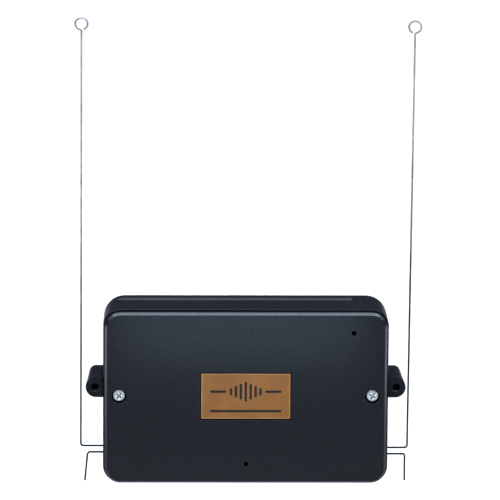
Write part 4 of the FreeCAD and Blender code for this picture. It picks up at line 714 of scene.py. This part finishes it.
    def outlines(self, board, face):
        """White printed outlines round the parts, and rings round the two cans."""
        near, far = 0.5 * MM, 0.5 * MM + board.legend
        lines = [(circle(x, z, radius + far), circle(x, z, radius + near)) for x, z, radius, _ in self.cans()]
        for name in ("left_radio_shield", "right_radio_shield", "bus_terminal", "processor_socket",
                     "memory_chip", "crystal", "address_switch", "tamper_switch", "enrol_switch",
                     "voltage_regulator", "resistor_networks", "resistors", "ceramic_capacitors",
                     "jumper_header"):
            low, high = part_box(name)
            lines.append((rounded(low.x - far, high.x + far, low.z - far, high.z + far, 0.6 * MM, 3),
                          rounded(low.x - near, high.x + near, low.z - near, high.z + near, 0.3 * MM, 3)))
        form = bmesh.new()
        for outer, inner in lines:
            add_ring_prism(form, outer, inner, face - 1.2 * board.film, face + board.film / 2)
        # Screen-printed epoxy ink: a flat chalky white.
        ink = plastic("white_legend_ink", "cfd2cc", "e2e4de", 0.55, depth=0.005)
        mesh_piece("board_outlines", form, ink, "housing")

    def can_tops(self):
        """The bare aluminium ends of the two cans, inside the rolled edges of their sleeves."""
        form = bmesh.new()
        for x, z, radius, top in self.cans():
            add_prism(form, circle(x, z, 0.8 * radius, 40), top - 0.06 * MM, top + 0.05 * MM)
        bare = bright_metal("bare_aluminium_ends", "d3d5d5", "b9bcbd", 0.35, 1.0)
        mesh_piece("capacitor_tops", form, bare, "housing")


class RECEIVER_OT_stage(bpy.types.Operator):
    """Builds the floor, the soft lights and the camera"""

    bl_idname = "receiver.stage"
    bl_label = "Studio"

    def execute(self, context):
        scene = context.scene
        studio = scene.receiver_studio
        self.floor(studio)
        self.sky(scene)
        # Name, place, aim, width and height in metres, power in watts, spread in degrees and colour.
        lights = (
            ("softbox_overhead", (0, -0.16, 0.75), (0, -0.04, 0), (1.3, 0.34), 18.5, 180, "dfeeff"),
            ("softbox_left", (-0.55, -0.16, 0.5), (0, -0.04, 0), (0.34, 0.5), 1.54, 180, "d2e2ff"),
            ("softbox_right", (0.55, -0.16, 0.5), (0, -0.04, 0), (0.34, 0.5), 1.95, 180, "dff5ff"),
            ("card_front", (0, -0.25, -0.012), (0, 0, 0.05), (0.16, 0.05), 0.07, 180, "c6e1ff"),
            ("card_left", (-0.5, 0.0, -0.07), (0, 0, 0), (0.5, 0.12), 0.62, 180, "f3f0ff"),
            ("card_right", (0.5, 0.0, -0.07), (0, 0, 0), (0.5, 0.12), 0.66, 180, "dce6ff"),
            ("lamp_upper_left", (-0.4, -0.8, 0.45), (0, 0, 0), (0.16, 0.16), 0.85, 180, "ffffff"),
            ("wash_left", (-1.95, -0.4, 1.3), (-1.95, -0.4, -0.26), (1.8, 3.2), 26.0, 60, "ffffff"),
            ("wash_right", (1.95, -0.4, 1.3), (1.95, -0.4, -0.26), (1.8, 3.2), 26.0, 60, "ffffff"),
            ("wash_front", (0, -2.7, 1.3), (0, -2.7, -0.26), (3.0, 1.8), 24.0, 60, "dce8ff"),
            ("wash_rear", (0, 1.6, 1.2), (0, 1.6, -0.26), (2.0, 2.4), 15.5, 60, "ffffff"),
        )
        for name, at, towards, size, power, spread, colour in lights:
            self.light(scene, name, at, towards, size, power, spread, colour)
        self.camera(scene, studio)
        scene.view_settings.view_transform = "Standard"
        return {"FINISHED"}

    def floor(self, studio):
        """A pale matt floor far below, which fills the picture behind the object."""
        form = bmesh.new()
        half_width = 14.0
        bmesh.ops.create_grid(form, x_segments=8, y_segments=8, size=half_width)
        mesh = bpy.data.meshes.new("studio_floor")
        form.to_mesh(mesh)
        form.free()
        floor = bpy.data.objects.new("studio_floor", mesh)
        floor.location = (0, 0, -studio.floor_drop)
        bpy.context.scene.collection.objects.link(floor)
        material, tree, shader, place = new_material("matt_paper", Roughness=0.9)
        fibre = add(tree, "TexNoise", {"Scale": per_metre(4.0)}, {"Vector": place})
        paper = add(tree, "ValToRGB", links={"Fac": fibre}, stops=((0.0, "f2f2f0"), (1.0, "f8f8f6")))
        join(tree, shader, {"Base Color": paper})
        mesh.materials.append(material)

    def sky(self, scene):
        """An even, pale surround."""
        world = bpy.data.worlds.new("pale_surround")
        scene.world = world
        world.use_nodes = True
        surround = world.node_tree.nodes["Background"]
        surround.inputs["Color"].default_value = linear("dfddff")
        surround.inputs["Strength"].default_value = 0.125

    def light(self, scene, name, at, towards, size, power, spread, colour):
        """A soft rectangular light."""
        data = bpy.data.lights.new(name, "AREA")
        data.shape = "RECTANGLE"
        data.size, data.size_y = size
        data.energy = power
        data.color = linear(colour)[:3]
        data.spread = math.radians(spread)
        lamp = bpy.data.objects.new(name, data)
        lamp.location = at
        lamp.rotation_mode = "QUATERNION"
        lamp.rotation_quaternion = (Vector(towards) - Vector(at)).to_track_quat("-Z", "Y")
        lamp.visible_camera = False
        scene.collection.objects.link(lamp)

    def camera(self, scene, studio):
        """A long lens at the photograph's angle."""
        level = math.cos(studio.tip)
        ahead = Vector((math.sin(studio.turn) * level, math.cos(studio.turn) * level, -math.sin(studio.tip)))
        right = Vector((math.cos(studio.turn), -math.sin(studio.turn), 0))
        up = right.cross(ahead)
        leaned_right = right * math.cos(studio.roll) + up * math.sin(studio.roll)
        leaned_up = up * math.cos(studio.roll) - right * math.sin(studio.roll)
        data = bpy.data.cameras.new("photo_camera")
        data.sensor_width = SENSOR_WIDTH
        data.lens = studio.focal_pixels * SENSOR_WIDTH / PHOTO_SIDE
        data.clip_start, data.clip_end = 0.05, 100.0
        camera = bpy.data.objects.new("photo_camera", data)
        turned = Matrix((leaned_right, leaned_up, -ahead)).transposed()
        place = Vector(studio.aim) - ahead * studio.distance
        camera.matrix_world = Matrix.Translation(place) @ turned.to_4x4()
        scene.collection.objects.link(camera)
        scene.camera = camera


class RECEIVER_PT_dressing(bpy.types.Panel):
    """The receiver's pieces and settings"""

    bl_label = "Receiver"
    bl_idname = "RECEIVER_PT_dressing"
    bl_space_type = "VIEW_3D"
    bl_region_type = "UI"
    bl_category = "Receiver"

    def draw(self, context):
        layout = self.layout
        scene = context.scene
        for group in (scene.receiver_case, scene.receiver_trim, scene.receiver_board, scene.receiver_studio):
            box = layout.box()
            for name in group.__annotations__:
                box.prop(group, name)
        for operator in OPERATORS:
            layout.operator(operator.bl_idname)


GROUPS = (CaseFinish, TrimFinish, BoardDetail, StudioSettings)
OPERATORS = (RECEIVER_OT_case, RECEIVER_OT_nameplate, RECEIVER_OT_screws, RECEIVER_OT_wires,
             RECEIVER_OT_board, RECEIVER_OT_tracks, RECEIVER_OT_stage)
CLASSES = (*GROUPS, *OPERATORS, RECEIVER_PT_dressing)


def register():
    for item in CLASSES:
        bpy.utils.register_class(item)
    bpy.types.Scene.receiver_case = PointerProperty(type=CaseFinish)
    bpy.types.Scene.receiver_trim = PointerProperty(type=TrimFinish)
    bpy.types.Scene.receiver_board = PointerProperty(type=BoardDetail)
    bpy.types.Scene.receiver_studio = PointerProperty(type=StudioSettings)


def unregister():
    del bpy.types.Scene.receiver_case, bpy.types.Scene.receiver_trim
    del bpy.types.Scene.receiver_board, bpy.types.Scene.receiver_studio
    for item in reversed(CLASSES):
        bpy.utils.unregister_class(item)


def main():
    register()
    for operator in OPERATORS:
        group, name = operator.bl_idname.split(".")
        getattr(getattr(bpy.ops, group), name)()


if __name__ == "__main__":
    main()
